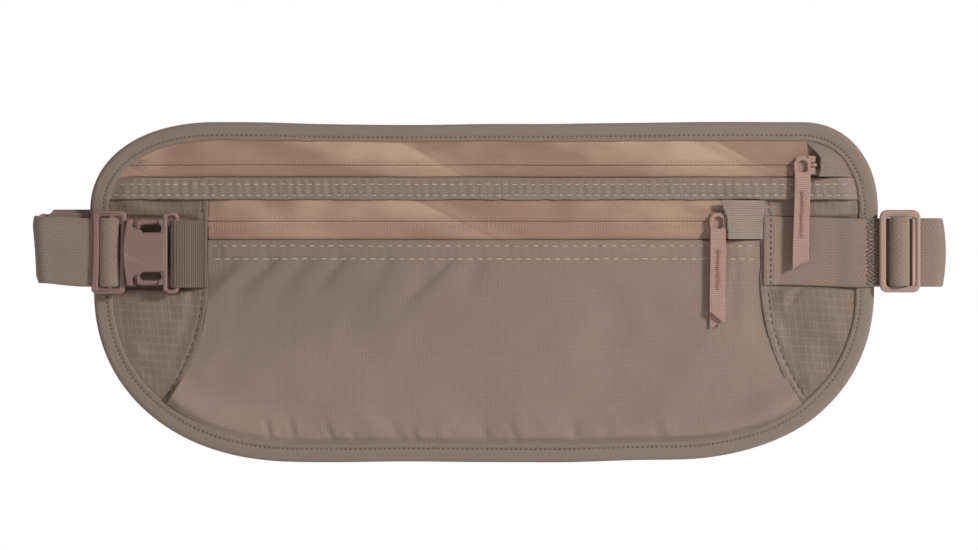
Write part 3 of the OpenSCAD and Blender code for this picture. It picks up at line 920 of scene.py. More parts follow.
def panel_d(x, z):
    """Middle depth of the front panel, with its soft folds and the pull of its seams."""
    from_seam = seam(z) - np.abs(x)
    base = 5.25 + 1.75 * smooth(-58, -1, z)
    base = base - (base - 5.4) * 0.6 * smooth(9, 0.5, from_seam)
    free = smooth(-2, -16, z) * smooth(0, 14, from_seam) * smooth(-74, -60, z)
    folds = (0.85 * soft(x * 0.030 + z * 0.020, z * 0.045 - x * 0.012)
             + 0.42 * fine(x * 0.075 - z * 0.05, z * 0.09 + x * 0.03))
    gathered = smooth(20, -50, x) * smooth(-46, -22, z)
    folds = folds + 0.38 * gathered * pucker(x * 0.13 - z * 0.09 + 5, z * 0.05 + x * 0.035)
    d = base + free * (0.35 + folds)
    for start, lean, reach, width, depth in PANEL_CREASES:
        d = d - depth * crease(x, z, start, HEM_FOOT, -lean * reach, -reach, width)
        d = d + 0.5 * depth * crease(x, z, start + 2.4 * width, HEM_FOOT, -lean * reach, -reach, 1.5 * width)
    foot = BOTTOM + BINDING_W - 1
    for start, lean, reach, width, depth in PANEL_TUCKS:
        d = d - depth * crease(x, z, start, foot, -lean, reach, width)
        d = d + 0.6 * depth * crease(x, z, start + 2 * width, foot, -lean, reach, 1.3 * width)
    d = d - 0.5 * crease(x, z, SEAM - 9, STITCH_HEM[1], -3, -34, 2.5)
    for row in STITCH_HEM:
        d = d - 0.22 * bump(z, row, 0.75)
    hem = bump(z, sum(STITCH_HEM) / 2, 3.6)
    d = d + hem * 0.15 * pleats(x, z, 3.6, 0) * (0.55 + 0.45 * smooth(60, -60, x))
    d = d - (d - under_pulls(d)) * smooth(-36, -30, z)
    low = smooth(-52, -70, z + 0.15 * np.abs(x) * smooth(40, 100, np.abs(x)))
    puffs = 0.34 * pucker(x * 0.15 + z * 0.09 + 9, z * 0.03) + 0.18 * fine(x * 0.3 + z * 0.2, z * 0.1)
    return d + low * puffs


def strip_d(x, z):
    """Middle depth of the strip between the zips, gathered along its two rows of stitches."""
    d = STRIP_D + 0.16 * bump(z, (STRIP_LOW + STRIP_HIGH) / 2, 2.2)
    for row in STITCH_STRIP:
        d = d - 0.16 * bump(z, row, 0.6)
    within = smooth(0.0, 1.4, z - STRIP_LOW) * smooth(0.0, 1.4, STRIP_HIGH - z)
    return d + 0.17 * pleats(x, z, 3.2, 11) * within * (0.6 + 0.4 * smooth(70, -70, x))


# each zip's own waves: a seed, and where along the tape the first one starts
WAVES = {UPPER_ZIP: (0, 0.108), LOWER_ZIP: (13, 0.065)}
WAVE_LENGTH, WAVE_SKEW, CREST = 118, 2.1, 0.60


def tape_wave(x, z, zc):
    """The zip tape lies in long waves that run down to the right, each ending in a sharper valley."""
    seed, start = WAVES[zc]
    skew = x + WAVE_SKEW * (z - zc) + 5 * soft(x * 0.03 + seed, z * 0.03)
    phase = np.mod(skew / WAVE_LENGTH + start, 1.0)
    up = 1 - (1 - np.minimum(phase / CREST, 1)) ** 2
    down = 1 - np.maximum((phase - CREST) / (1 - CREST), 0) ** 1.5
    down = np.where(skew < -112, 1, down)
    return 2.5 * up * down + 0.25 * fine(x * 0.085 + seed, z * 0.09)


# painted light and shade in spots on each tape: place along the tape, half width, how much lighter
PAINTED_SHEEN_SPOTS = {UPPER_ZIP: ((-60, 14, -0.6), (35, 13, -0.45), (99, 4.5, -0.5), (-12, 5, 0.35)),
           LOWER_ZIP: ((-32, 10, -0.35), (-78, 12, 0.4), (88, 6, -0.4), (-4, 5, 0.35))}


def painted_sheen_of(x, z, zc):
    """Painted sheen on the tape: lighter and warmer where it falls away to the right, towards the light."""
    slope = tape_wave(x + 0.5, z, zc) - tape_wave(x - 0.5, z, zc)
    painted_sheen = np.clip(0.42 - slope * 8.5, 0, 1) * (0.6 + 0.4 * smooth(zc - 2, zc + 2, z))
    if zc == LOWER_ZIP:
        painted_sheen = painted_sheen * 0.8
    along = x + WAVE_SKEW * (z - zc)
    return painted_sheen + sum(turn * bump(along, at, wide) for at, wide, turn in PAINTED_SHEEN_SPOTS[zc])


def seam_edge(z, side):
    """The wing's folded edge, which wanders a little along the seam."""
    return seam(z) - 0.15 + 0.3 * fine(z * 0.22 + 3 * side, 0 * z)


def wing_d(x, z, side):
    """Middle depth of a wing: up over the panel at the seam, flat under the strap, wrinkled below it."""
    from_seam = np.abs(x) - seam(z)
    loose = 1 - smooth(STRAP_EDGE, STRAP_EDGE - 1.5, np.abs(z))
    over_panel = panel_d(np.sign(x) * seam(z), z) + 0.34
    lift = (over_panel - WING_D) * smooth(7.5, 0.6, from_seam)
    drawn = 0.34 * pucker(z * 0.34 + 5 * side, x * 0.05) * smooth(13, 15, np.abs(z))
    groove = -0.42 * bump(from_seam, SEAM_STITCH[side], 0.8) + drawn * bump(from_seam, SEAM_STITCH[side], 3.0)
    wrinkle = smooth(3, 9, from_seam) * loose * (
        0.85 * soft(x * 0.09 + z * 0.04 + 2 * side, z * 0.11)
        + 0.42 * fine(x * 0.16 + z * 0.06 + side, z * 0.14 + 3) + 0.75)
    pull = -1.0 * crease(x, z, side * (SEAM + 15.5), -12, side * -9, -9, 1.5) * loose
    pull = pull + 0.7 * crease(x, z, side * (SEAM + 13), -12, side * -9, -10, 2.2) * loose
    return np.maximum(4.55, WING_D + lift + groove + (wrinkle + pull) * smooth(-62, -48, z))


def folded_edge(x, z, seed):
    """How far a folded and stitched edge wanders from straight."""
    return 0.16 * fine(x * 0.3 + seed, z * 0.1) + 0.12 * soft(x * 0.09 + seed, z * 0.1)


def front_layer(name, x, z, d, thick, material, slot, node, along=None, free=FREE_FROM):
    """A sheet of the pouch, gripped by the binding."""
    ob = cloth(name, x, z, settle(d, inset_of(x, z), free), thick, material, along=along)
    return give(ob, "pouch", slot, node)


def back_mesh():
    x, z = full_width(spaced(BOTTOM + 0.8, TOP - 0.8, 1.5), 0.8, 190)
    inset = inset_of(x, z)
    d = MESH_D + 0.14 * soft(x * 0.05, z * 0.06) * smooth(8, 20, inset)
    thick = 0.5 + 0.45 * smooth(6, 12, inset)
    ob = cloth("back_mesh_panel", x, z, settle(d, inset), thick, M["mesh"])
    give(ob, "pouch", "wicking_mesh", "back_panel")


def lining():
    x, z = full_width(spaced(BOTTOM + 0.9, STRIP_LOW + 4, 3), 0.9, 90)
    front_layer("pocket_divider_lining", x, z, DIVIDER_D + 0 * x, 0.25, M["lining"], "lining", "pocket_divider")


def wing(side, node):
    x, z = grid(spaced(SEAM_FOOT, STRIP_LOW + 1.0, 0.55), lambda z: seam_edge(z, side),
                lambda z: np.maximum(half_width(z, side, 1.2), seam(z) + 0.4), 84)
    x = x * side
    front_layer(node + "_ripstop", x, z, wing_d(x, z, side), 0.32, M["wing"], "wing_ripstop", node)


def front_panel():
    heights = np.concatenate([spaced(BOTTOM + 0.9, -6, 0.8), spaced(-5.7, HEM_TOP, 0.33)])
    x, z = grid(heights, lambda z: -np.minimum(seam(z), half_width(z, -1, 1.0)),
                lambda z: np.minimum(seam(z), half_width(z, 1, 1.0)), 300)
    d = panel_d(x, z) + 0.12 * bump(z, HEM_TOP - 0.7, 0.7)
    ridge = 2.5 * smooth(21, 10, inset_of(x, z)) * smooth(-30, -54, z)
    d = d + ridge * (1 + 0.3 * soft(x * 0.06, z * 0.05))
    z = z + folded_edge(x, z, 5) * smooth(HEM_TOP - 4, HEM_TOP, z)
    # painted shade over the panel's upper part, strongest at its left, and painted light on a low band near its
    # lower left corner
    painted_light_and_shade = (0.4 * smooth(-10, -60, x) + 0.3 * smooth(60, -20, x) + 0.08) * smooth(-50, -10, z)
    painted_light_and_shade = painted_light_and_shade - 0.9 * smooth(-50, -64, z) * bump(x, -87, 18)
    front_layer("front_panel_ripstop", x, z, d, 0.4, M["panel"], "ripstop", "front_panel", along=painted_light_and_shade,
                free=FREE_FROM - 2.8 * smooth(-44, -58, z))


def strip():
    x, z = full_width(spaced(STRIP_LOW, STRIP_HIGH, 0.3), 1.6, 620)
    d = strip_d(x, z) + 0.1 * (bump(z, STRIP_LOW + 0.6, 0.6) + bump(z, STRIP_HIGH - 0.6, 0.6))
    z = z + folded_edge(x, z, 0) * smooth(3, 0, np.minimum(z - STRIP_LOW, STRIP_HIGH - z))
    front_layer("divider_strip_ripstop", x, z, d, 0.5, M["strip"], "ripstop", "divider_strip")


back_mesh()
lining()
wing(-1, "left_wing")
wing(1, "right_wing")
front_panel()
strip()


# ---------- binding ----------

BINDING_FRONT, BINDING_BACK, BINDING_MID = 6.2, 2.6, 4.4
BINDING_STITCH = 5.0


def binding_profile(radius=1.75, thick=0.4):
    """The tape's section, as insets and depths: its outside round the pouch's edge, then its inside."""
    i = np.concatenate([np.linspace(BINDING_W, 1.9, 24), radius * (1 - np.sin(np.linspace(0, math.pi / 2, 8)))])
    turn = np.sqrt(np.maximum(0, 1 - ((radius - i) / radius) ** 2))
    d = np.where(i < radius, BINDING_MID + (BINDING_FRONT - BINDING_MID) * turn, BINDING_FRONT)
    outer = np.vstack([columns(i, d), columns(i, 2 * BINDING_MID - d)[::-1][1:]])
    shrink = 1 - thick / (BINDING_FRONT - BINDING_MID)
    inner = columns(np.maximum(outer[:, 0], 0.45), BINDING_MID + (outer[:, 1] - BINDING_MID) * shrink)[::-1]
    return np.vstack([outer, inner])


def binding():
    profile = binding_profile()
    p, normal, s = EDGE[::2], EDGE_N[::2], EDGE_S[::2][:, None]
    inset, depth = profile[:, 0][None, :], profile[:, 1][None, :]
    wavy = 0.10 * soft(s * 0.11, 0 * s) + 0.05 * fine(s * 0.5, 0 * s + 3) * bump(inset, BINDING_STITCH, 1.2)
    groove = 0.16 * bump(inset, BINDING_STITCH, 0.5)
    crown = 0.08 * bump(inset, 3.0, 1.5)
    lip = 0.3 * smooth(0.7, 0.0, BINDING_W - inset)
    outwards = np.where(depth > BINDING_MID, 1, -1)
    shift = (crown - groove - lip + wavy * smooth(0.5, 2.5, inset)) * outwards
    wandering = inset + 0.18 * fine(s * 0.16, 0 * s + 8) * smooth(4.0, 7.0, inset)
    x = p[:, :1] - normal[:, :1] * wandering
    ring = np.stack([x, depth + shift, warp(x, p[:, 1:] - normal[:, 1:] * wandering)], -1)
    along = np.stack(np.broadcast_arrays(s, inset, depth + 0 * s), -1).reshape(-1, 3)
    faces = loop_faces(*ring.shape[:2], wrap=True)
    ob = add_mesh("edge_binding_tape", ring.reshape(-1, 3), faces, M["binding"], along)
    give(ob, "pouch", "binding_tape", "edge_binding")


def binding_stitches(name, depth, facing, pitch=1.8, dash=1.05):
    """Real stitches all round, on the front or the back of the binding, in a thread darker than the binding that
    paints the shade of the stitch holes.
    """
    def at(v):
        px, pz, nx, nz = (np.interp(v % EDGE_LEN, EDGE_S, values, period=EDGE_LEN)
                          for values in (EDGE[:, 0], EDGE[:, 1], EDGE_N[:, 0], EDGE_N[:, 1]))
        x, z = px - nx * BINDING_STITCH, pz - nz * BINDING_STITCH
        return columns(x, depth, warp(x, z))
    n = int(EDGE_LEN / pitch)
    s = np.arange(n) * EDGE_LEN / n
    ob = threads(name, at(s), at(s + dash), (0, facing, 0), 0.25, 0.03, M["seam"], sides=5, rings=5)
    give(ob, "pouch", "binding_tape")


binding()
binding_stitches("binding_stitches_front", BINDING_FRONT + 0.02, 1)
binding_stitches("binding_stitches_back", BINDING_BACK - 0.02, -1)


# ---------- zips ----------

SLIT = 0.06


def zip_wave(x, z, zc):
    """How far a zip's tape stands off its middle depth: free in its middle, held where its edges are sewn."""
    if zc == UPPER_ZIP:
        sewn, grown, reach = STRIP_HIGH, 0.95, 8.4
        top = 0.0
        ends = smooth(124, 112, x)
    else:
        sewn, grown, reach = HEM_TOP, 0.59, 7.2
        top = smooth(STRIP_LOW - 2.6, STRIP_LOW, z)
        ends = smooth(0, 8, SEAM - np.abs(x))
    grow = 0.05 + grown * smooth(zc + 2.6, zc + reach, z)
    edge = smooth(sewn + 3.2, sewn + 0.3, z)
    gap = smooth(sewn + 0.6, sewn + 0.1, z)
    rise = (tape_wave(x, z, zc) - 0.6) * grow * (1 - edge) * (1 - top) * ends
    if zc == LOWER_ZIP:
        rise = under_pulls(TAPE_D + rise) - TAPE_D
    return rise - 0.3 * edge - 0.25 * top - 0.55 * gap


def side_dip(x, zc):
    """The lower zip ends at the side seams, which press it down."""
    return -0.72 * smooth(9, 0.5, SEAM - np.abs(x)) * (zc == LOWER_ZIP)


def tape_d(x, z, zc):
    return TAPE_D + zip_wave(x, z, zc) + side_dip(x, zc)


def zip_tape(node, x, z, zc):
    rolled_in = 0.10 * smooth(0.55, 0.0, np.abs(z - zc) - SLIT)
    d = tape_d(x, z, zc) - rolled_in
    front_layer(node + "_cloth", x, z, d, 0.4, M["tape"], "zip_tape", node, painted_sheen_of(x, z, zc))


def tape_stitches(name, x0, x1, zc, side, length):
    """The short stitches that stand along the slit, on one of its tapes."""
    def at(x, z):
        return columns(x, settle(tape_d(x, z, zc), inset_of(x, z)) + 0.09, warp(x, z))
    x = np.arange(x0 + 1, x1 - 1, 1.0)
    x = x + rng.uniform(-0.03, 0.03, len(x))
    uneven = rng.uniform(-0.06, 0.06, len(x))
    starts, stops = at(x, np.full_like(x, zc + side * 0.4)), at(x, zc + side * (length + uneven))
    ob = threads(name, starts, stops, (0, 1, 0), 0.25, 0.0, M["tick"], rings=9, sink=0.5)
    give(ob, "pouch", "zip_tape")


def coil(node, pitch=1.0, wire=0.16):
    """Half of a zip's coil, wound inside the CAD node's limits."""
    (x0, x1), (d0, d1), (z0, z1) = box(node)
    x0, x1 = x0 + 0.2, x1 - 0.2
    turns = (x1 - x0) / pitch
    t = np.linspace(0, turns, int(turns * 12))
    line = columns(x0 + t * (x1 - x0) / turns,
                   (d0 + d1) / 2 + ((d1 - d0) / 2 - wire) * np.sin(2 * np.pi * t),
                   (z0 + z1) / 2 + ((z1 - z0) / 2 - wire) * np.cos(2 * np.pi * t))
    give(tube(node + "_wire", line, wire, M["coil"], sides=5), "pouch", "zip_coil", node)


def zip_line(name, zc, top, bottom):
    """One zip: its two tapes from their grids, the stitches along the slit and the coil behind."""
    zip_tape(f"{name}_tape_top", *top, zc)
    zip_tape(f"{name}_tape_bottom", *bottom, zc)
    x0, x1 = box(f"{name}_coil_top")[0]
    for side, label, length in ((1, "top", 2.5), (-1, "bottom", 3.4)):
        tape_stitches(f"{name}_tape_stitches_{label}", x0, x1, zc, side, length)
        coil(f"{name}_coil_{label}")


def upper_zip():
    x = spaced(-half_width(UPPER_ZIP, -1, 1.8), half_width(UPPER_ZIP, 1, 1.8), 1.1)[None, :]
    low = UPPER_ZIP + SLIT
    high = np.maximum(top_of(x, 1.8), low + 0.2)
    z = low + (high - low) * np.linspace(0, 1, 24)[:, None]
    bottom = full_width(spaced(STRIP_HIGH - 2, UPPER_ZIP - SLIT, 0.22), 1.6, 250)
    zip_line("upper_zip", UPPER_ZIP, (x + 0 * z, z), bottom)


def lower_zip():
    def between_seams(z_values):
        return grid(z_values, lambda z: -SEAM + 0 * z, lambda z: SEAM + 0 * z, 200)
    zip_line("lower_zip", LOWER_ZIP, between_seams(spaced(LOWER_ZIP + SLIT, STRIP_LOW + 3, 0.4)),
             between_seams(spaced(HEM_TOP - 2, LOWER_ZIP - SLIT, 0.22)))


upper_zip()
lower_zip()


# ---------- topstitching ----------

def stitch_row(name, x0, x1, zc, depth, pitch, dash):
    """A row of cream stitches along x, a little uneven."""
    x = np.arange(x0, x1 - dash, pitch)
    x = x + rng.uniform(-0.12, 0.12, len(x))
    z = zc + rng.uniform(-0.08, 0.08, len(x))
    starts = columns(x, depth(x, z), warp(x, z))
    end = x + dash
    stops = columns(end, depth(end, z), warp(end, z + rng.uniform(-0.06, 0.06, len(x))))
    give(threads(name, starts, stops, (0, 1, 0), 0.21, 0.1, M["cream"]), "pouch", "ripstop")


def on_strip(x, z):
    return settle(strip_d(x, z), inset_of(x, z)) + 0.21


def on_panel(x, z):
    return settle(panel_d(x, z), inset_of(x, z)) + 0.2


for k, zc in enumerate(STITCH_STRIP):
    x0, x1 = -half_width(zc, -1, BINDING_W + 0.6) + 0.9 * k, half_width(zc, 1, BINDING_W + 0.6)
    stitch_row(f"strip_stitches_{k}", x0, x1, zc, on_strip, 3.3, 2.3)
for k, zc in enumerate(STITCH_HEM):
    stitch_row(f"hem_stitches_{k}", -SEAM + 1.5 + 0.8 * k, SEAM - 1, zc, on_panel, 3.6, 2.5)


def seam_stitches(side, name):
    """Stitches down the wing's seam, above and below the strap."""
    def at(z):
        x = side * (seam(z) + SEAM_STITCH[side])
        return columns(x, settle(wing_d(x, z, side), inset_of(x, z)) + 0.16, warp(x, z))
    z = np.arange(-53, STRIP_LOW - 1, 2.6)
    z = z[np.abs(z + 0.9) > STRAP_EDGE]
    give(threads(name, at(z), at(z + 2.0), (0, 1, 0), 0.21, 0.05, M["dark"]), "pouch", "wing_ripstop")


seam_stitches(-1, "left_seam_stitches")
seam_stitches(1, "right_seam_stitches")


# ---------- tabs over the zips' closed ends ----------

def tab(which, path, z, material, limit, edge_x):
    """Woven tab over a zip's end. limit(z) is where it ends at the seam or the binding, and edge_x(z) is how far
    its free end is moved."""
    middle, width = sum(z) / 2, z[1] - z[0]
    x_free, x_end = path[0][0], path[-1][0]
    x_fixed = x_free + 4

    def shape(x, d, z, s):
        x = x + edge_x(z) * smooth(10, 0, x - x_free)
        stretched = x_fixed + (x - x_fixed) * (limit(z) - x_fixed) / (x_end - x_fixed)
        x = np.where(x > x_fixed, stretched, x)
        inset = inset_of(x, z)
        d = settle(d, inset) + 0.12 * smooth(12, 7, inset)
        d = d + 0.18 * soft(z * 0.3, x * 0.1) * smooth(8, 0, x - x_free)
        return x, d, warp(x, z)
    ob = web(f"{which}_zip_tab_grosgrain", path, width, 0.42, material, zc=middle, step=0.45, soften=2,
             across=(TAB_RIB, 0.2), shape=shape, edge=0.3, cols=int(width / TAB_RIB * 7))
    give(ob, "pouch", "grosgrain", f"{which}_zip_tab")


tab("upper", [[122.8, 10.4], [124.6, 9.9], [127, 8.9], [130, 7.6], [133, 7.15], [145, 7.1]], (28.0, 40.9),
    M["shaded_tab"], lambda z: half_width(np.minimum(z, 44), 1, 2.2),
    lambda z: 1.4 - 4.6 * smooth(34.5, 41.5, z) - 0.6 * smooth(31, 28, z))
tab("lower", [[89.3, 10.2], [92.5, 9.7], [95.5, 8.8], [98.5, 7.7], [101, 7.15], [103.6, 6.7]], (4.9, 19.3),
    M["tab"], lambda z: 103.6,
    lambda z: 0.55 - 2.2 * smooth(11.5, 19.3, z) + 0.25 * smooth(9.5, 7.5, z))


# ---------- sliders and pulls ----------

RIBBON_W, RIBBON_T = 5.8, 0.5
RIBBON_FRONT, RIBBON_BACK = 9.7, 8.02
PIN_OUT, RING_BACK = 3.0, 1.3


def slider_body(which, cx, cz, hl, hw):
    """Two wings with the tapes' gap between them, a divider, side guards and the bridge over the pin."""
    front = rounded([[cx - hl, cz - hw], [cx + hl, cz - hw], [cx + hl, cz - 1.35], [cx + hl - 0.75, cz - 0.75],
                     [cx + hl - 0.75, cz + 0.75], [cx + hl, cz + 1.35], [cx + hl, cz + hw], [cx - hl, cz + hw]],
                    [2.6, 0.7, 0.3, 0.5, 0.5, 0.3, 0.7, 2.6])
    metal = M["enamel"]
    parts = [plate([front], 6.85, 7.65, 0.28, metal),
             plate([rect(cx - hl, cx + hl, cz - hw, cz + hw, 1.2)], 4.7, 5.3, 0.2, metal),
             plate([rect(cx - 1.3, cx + 1.3, cz - 0.2, cz + 0.2, 0.1)], 5.1, 7.0, 0.04, metal)]
    for z in (cz - 2.9, cz + 2.9):
        parts.append(plate([rect(cx - 3.3, cx + 3.3, z - 0.4, z + 0.4, 0.3)], 5.1, 6.25, 0.08, metal))
    bow = resample([[1.75, 7.5], [1.8, 8.6], [2.2, 9.1], [3, 9.22], [3.8, 9.1], [4.2, 8.6], [4.25, 7.5]],
                   0.25, 1)
    bridge = tube("bridge", columns(cx + bow[:, 0], bow[:, 1], cz), 0.36, metal, sides=12)
    move_verts(bridge, lambda x, d, z: (x, d, cz + (z - cz) * 1.8))
    give(join(f"{which}_slider_body", parts + [bridge]), f"{which}_slider", "slider_metal", f"{which}_slider")


def puller_ring(which, rc, cz, pin):
    """The ring that the ribbon runs through, and the arm that holds it on the slider's pin."""
    outer = arc(rc, cz, 3.2, 180, 0, 25) + [[rc + 2.85, cz - 3.85], [rc - 2.85, cz - 3.85]]
    slot = arc(rc, cz, 1.8, 180, 0, 17) + [[rc + 1.8, cz - 2.7], [rc + 1.6, cz - 2.9],
                                           [rc - 1.6, cz - 2.9], [rc - 1.8, cz - 2.7]]
    x0, x1, x2, x3, notch = rc + 2.1, pin - 1.2, pin + 0.22, pin + 0.72, 0.95
    arm = rounded([[x0, cz - 3.4], [x3, cz - 3.4], [x3, cz - 1.5], [x2, cz - notch], [x1, cz - notch],
                   [x1, cz + notch], [x2, cz + notch], [x3, cz + 1.5], [x3, cz + 3.4], [x0, cz + 3.4]],
                  [0.5, 0.8, 0.5, 0.4, 0.3, 0.3, 0.4, 0.5, 0.8, 0.5])
    parts = [plate([outer, slot], 8.3, 9.25, 0.3, M["enamel"]), plate([arm], 8.12, 8.9, 0.22, M["enamel"]),
             bar(pin, 8.5, cz - 1.95, cz + 1.95, 8, 0.35, M["enamel"], sides=12)]
    give(join(f"{which}_puller_ring", parts), f"{which}_puller", "slider_metal", f"{which}_puller")


def pull_ribbon(which, rc, cz, front_ends, back_ends, lean, tack_z):
    """The ribbon runs up in front of the ring's bar, over it and down behind, and is tacked through."""
    front, back = sum(front_ends) / 2, sum(back_ends) / 2
    over = cz - 3.1
    path = ([[front, RIBBON_FRONT + 0.15], [front + 8, RIBBON_FRONT + 0.1], [over - 1, RIBBON_FRONT]]
            + arc(over, (RIBBON_FRONT + RIBBON_BACK) / 2, (RIBBON_FRONT - RIBBON_BACK) / 2, 90, -90, 10)
            + [[over - 3, RIBBON_BACK], [back + 8, RIBBON_BACK + 0.1], [back, RIBBON_BACK]])
    total = lengths(path)[-1]
    turn = over - front
    front_slope = (front_ends[1] - front_ends[0]) / RIBBON_W
    back_slope = (back_ends[1] - back_ends[0]) / RIBBON_W

    def shape(z, d, x, s):
        x = x * (1 - 0.42 * smooth(turn + 0.4, turn + 1.2, s) * smooth(turn + 6.5, turn + 3.0, s))
        z = z + x * front_slope * smooth(9, 0, s) + x * back_slope * smooth(total - 9, total, s)
        z = z - 0.7 * np.clip(1 - (x / 1.9) ** 2, 0, 1) * smooth(3.2, 0.4, np.abs(s - turn - 1.3))
        curl = 0.2 * soft(z * 0.12 + 4, x * 0.15) * smooth(0, 6, np.abs(s - turn - 1.5))
        leaning = lean * smooth(0, 34, over - z) * np.where(s < turn + 1.3, 1, 0.6)
        return rc + x + leaning, d + curl, z
    ob = web(f"{which}_pull_ribbon_woven", path, RIBBON_W, RIBBON_T, M["pull"], step=0.13, soften=0.4,
             ribs=(RIBBON_RIB, 0.2), shape=shape, edge=0.25, cols=12)
    give(ob, f"{which}_ribbon", "pull_ribbon", f"{which}_pull_ribbon")

    steps = int((tack_z[0] - tack_z[1]) / 0.42)
    z = np.linspace(*tack_z, steps)
    to_and_fro = np.where(np.arange(steps) % 2 == 0, -1.0, 1.0) * rng.uniform(0.7, 1.15, steps)
    tack = columns(rc + lean * smooth(0, 34, over - z) + 0.15 + to_and_fro,
                   RIBBON_FRONT + 0.42 + 0.2 * soft(z * 0.12 + 4, 0 * z), z)
    ob = threads(f"{which}_pull_bartack", tack[:-1], tack[1:], (0, 1, 0), 0.2, 0.08, M["tack"])
    give(ob, f"{which}_ribbon", "pull_ribbon")


def slider(which, front_ends, back_ends, lean, tack_z):
    """A slider with its ring and ribbon, whose ends are given by the heights of their two cut corners."""
    (x0, x1), _, (z0, z1) = box(f"{which}_slider")
    cx, cz = (x0 + x1) / 2, (z0 + z1) / 2
    slider_body(which, cx, cz, (x1 - x0) / 2, (z1 - z0) / 2)
    puller_ring(which, cx - RING_BACK, cz, cx + PIN_OUT)
    pull_ribbon(which, cx - RING_BACK, cz, front_ends, back_ends, lean, tack_z)


slider("upper", (-6.4, -1.0), (-6.0, -3.0), -0.85, (22.4, 5.4))
slider("lower", (-21.8, -26.3), (-28.2, -25.0), -0.3, (0.9, -13.9))


# ---------- buckle ----------

BUCKLE_D = 10.35
SOCKET_BAR, PLUG_BAR = -113.6, -137.9


def moulded_part(loops, low, high, bevel, steps=3):
    """A plate of the buckle, between depths that are measured from its middle."""
    return plate(loops, BUCKLE_D + low, BUCKLE_D + high, bevel, M["buckle"], steps)


def socket():
    """Two faces with the mouth at their left, side lips, blocks beside the latches, and the bar for the loop."""
    mouth = [[-132.4, 7.5], [-131.7, 11.2]]
    half = mouth + [[-131.4, 12.1], [-129.9, 12.1], [-129.6, 9.2], [-129.0, 8.5], [-126.7, 8.3], [-126.1, 7.3],
                    [-118.0, 7.3]]
    half = [[-133.05, 0], [-132.9, 3.5]] + half
    radii = [3.0, 3.0, 3.0, 0.8, 0.5, 0.9, 0.5, 0.5, 0.5, 0.5, 0.3]
    face = rounded(half + mirrored(half[1:], -1), radii + radii[:0:-1])
    parts = [moulded_part([face], 1.9, 3.1, 0.42, 4), moulded_part([face], -3.1, -1.9, 0.42, 4),
             moulded_part([rect(-118.4, -116.8, -14.2, 14.2, 0.7)], -2.75, 2.75, 0.6, 4),
             moulded_part([rect(-118.9, -117.9, -7.1, 7.1, 0.3)], -3.0, 3.0, 0.25),
             bar(SOCKET_BAR, BUCKLE_D, -13.6, 13.6, 12, 1.15, M["buckle"])]
    web_end = rounded([[-119.2, 10.0], [-118.8, 8.9], [-119.2, 7.7], [-120.0, 6.9], [-117.6, 6.9],
                       [-117.6, 12.0], [-120.1, 12.0], [-119.9, 10.4]],
                      [0.8, 1.2, 0.8, 0.2, 0.1, 0.3, 0.3, 0.3])
    for side, high in ((-1, 14.5), (1, 14.1)):
        lip, block = side * 11.5, side * 9.5
        bow = resample([[-117.6, 12.2], [-117.6, 13.2], [-117.0, high - 0.3], [-115.9, high], [-114.7, high],
                        [SOCKET_BAR, high - 0.4], [-113.3, 12.6]], 0.3, 1)
        bow = columns(bow[:, 0], BUCKLE_D + 0.2, side * bow[:, 1])
        parts += [moulded_part([rect(-131.9, -129.7, lip - 0.65, lip + 0.65, 0.4)], -2.6, 2.6, 0.2),
                  moulded_part([mirrored(web_end, side)], 1.87, 2.5, 0.2),
                  moulded_part([rect(-118.65, -117.6, block - 2.4, block + 2.4, 0.2)], -1.6, 1.9, 0.1),
                  tube("bow", bow, 0.8, M["buckle"], 14, squash_d=1.7)]
    give(join("buckle_socket_shell", parts), "pouch", "buckle_plastic", "buckle_socket")


def denser(loop, step=1.5):
    """A loop with points added along its straight sides, so that they can be bent."""
    out = []
    for a, b in zip(np.asarray(loop), np.asarray(loop[1:] + loop[:1])):
        m = max(1, int(np.linalg.norm(b - a) / step))
        out += [(a + (b - a) * k / m).tolist() for k in range(m)]
    return out


def lean_and_bow(x, d, z):
    """The plug's frame leans a little, its left side is bowed and thinner."""
    thin = smooth(-139.5, -143, x)
    x = x + np.where(x < -131.5, 0.022 * z - 0.0022 * (z * z - 120) * (x < -140), 0)
    return x, BUCKLE_D + (d - BUCKLE_D) * (1 - 0.4 * thin) - 0.15 * thin, z


def plug():
    """A frame for the strap with its middle bar, a tongue and the latches' roots."""
    frame_loop, window = rect(-144.6, -132.2, -15.3, 15.3, 2.4, 8), rect(-142.2, -134.3, -13.2, 13.2, 0.9)
    tongue = rounded([[-133.2, -4.5], [-123.1, -3], [-121.6, -1.5], [-121.6, 1.5], [-123.1, 3], [-133.2, 4.5]],
                     [0.3, 0.6, 0.6, 0.6, 0.6, 0.3])
    parts = [moulded_part([denser(frame_loop), denser(window)], -1.3, 1.3, 0.9, 5),
             bar(PLUG_BAR, BUCKLE_D, -13.8, 13.8, 16, 1.2, M["buckle"]),
             moulded_part([tongue], -1.3, 1.3, 0.4)]
    for root in (-8.5, 8.5):
        parts.append(bar(-132.9, BUCKLE_D, root - 0.9, root + 0.9, 2, 0.8, M["buckle"], sides=12))
    ob = join("buckle_plug_frame", parts)
    move_verts(ob, lean_and_bow)
    give(ob, "plug", "buckle_plastic", "buckle_plug")


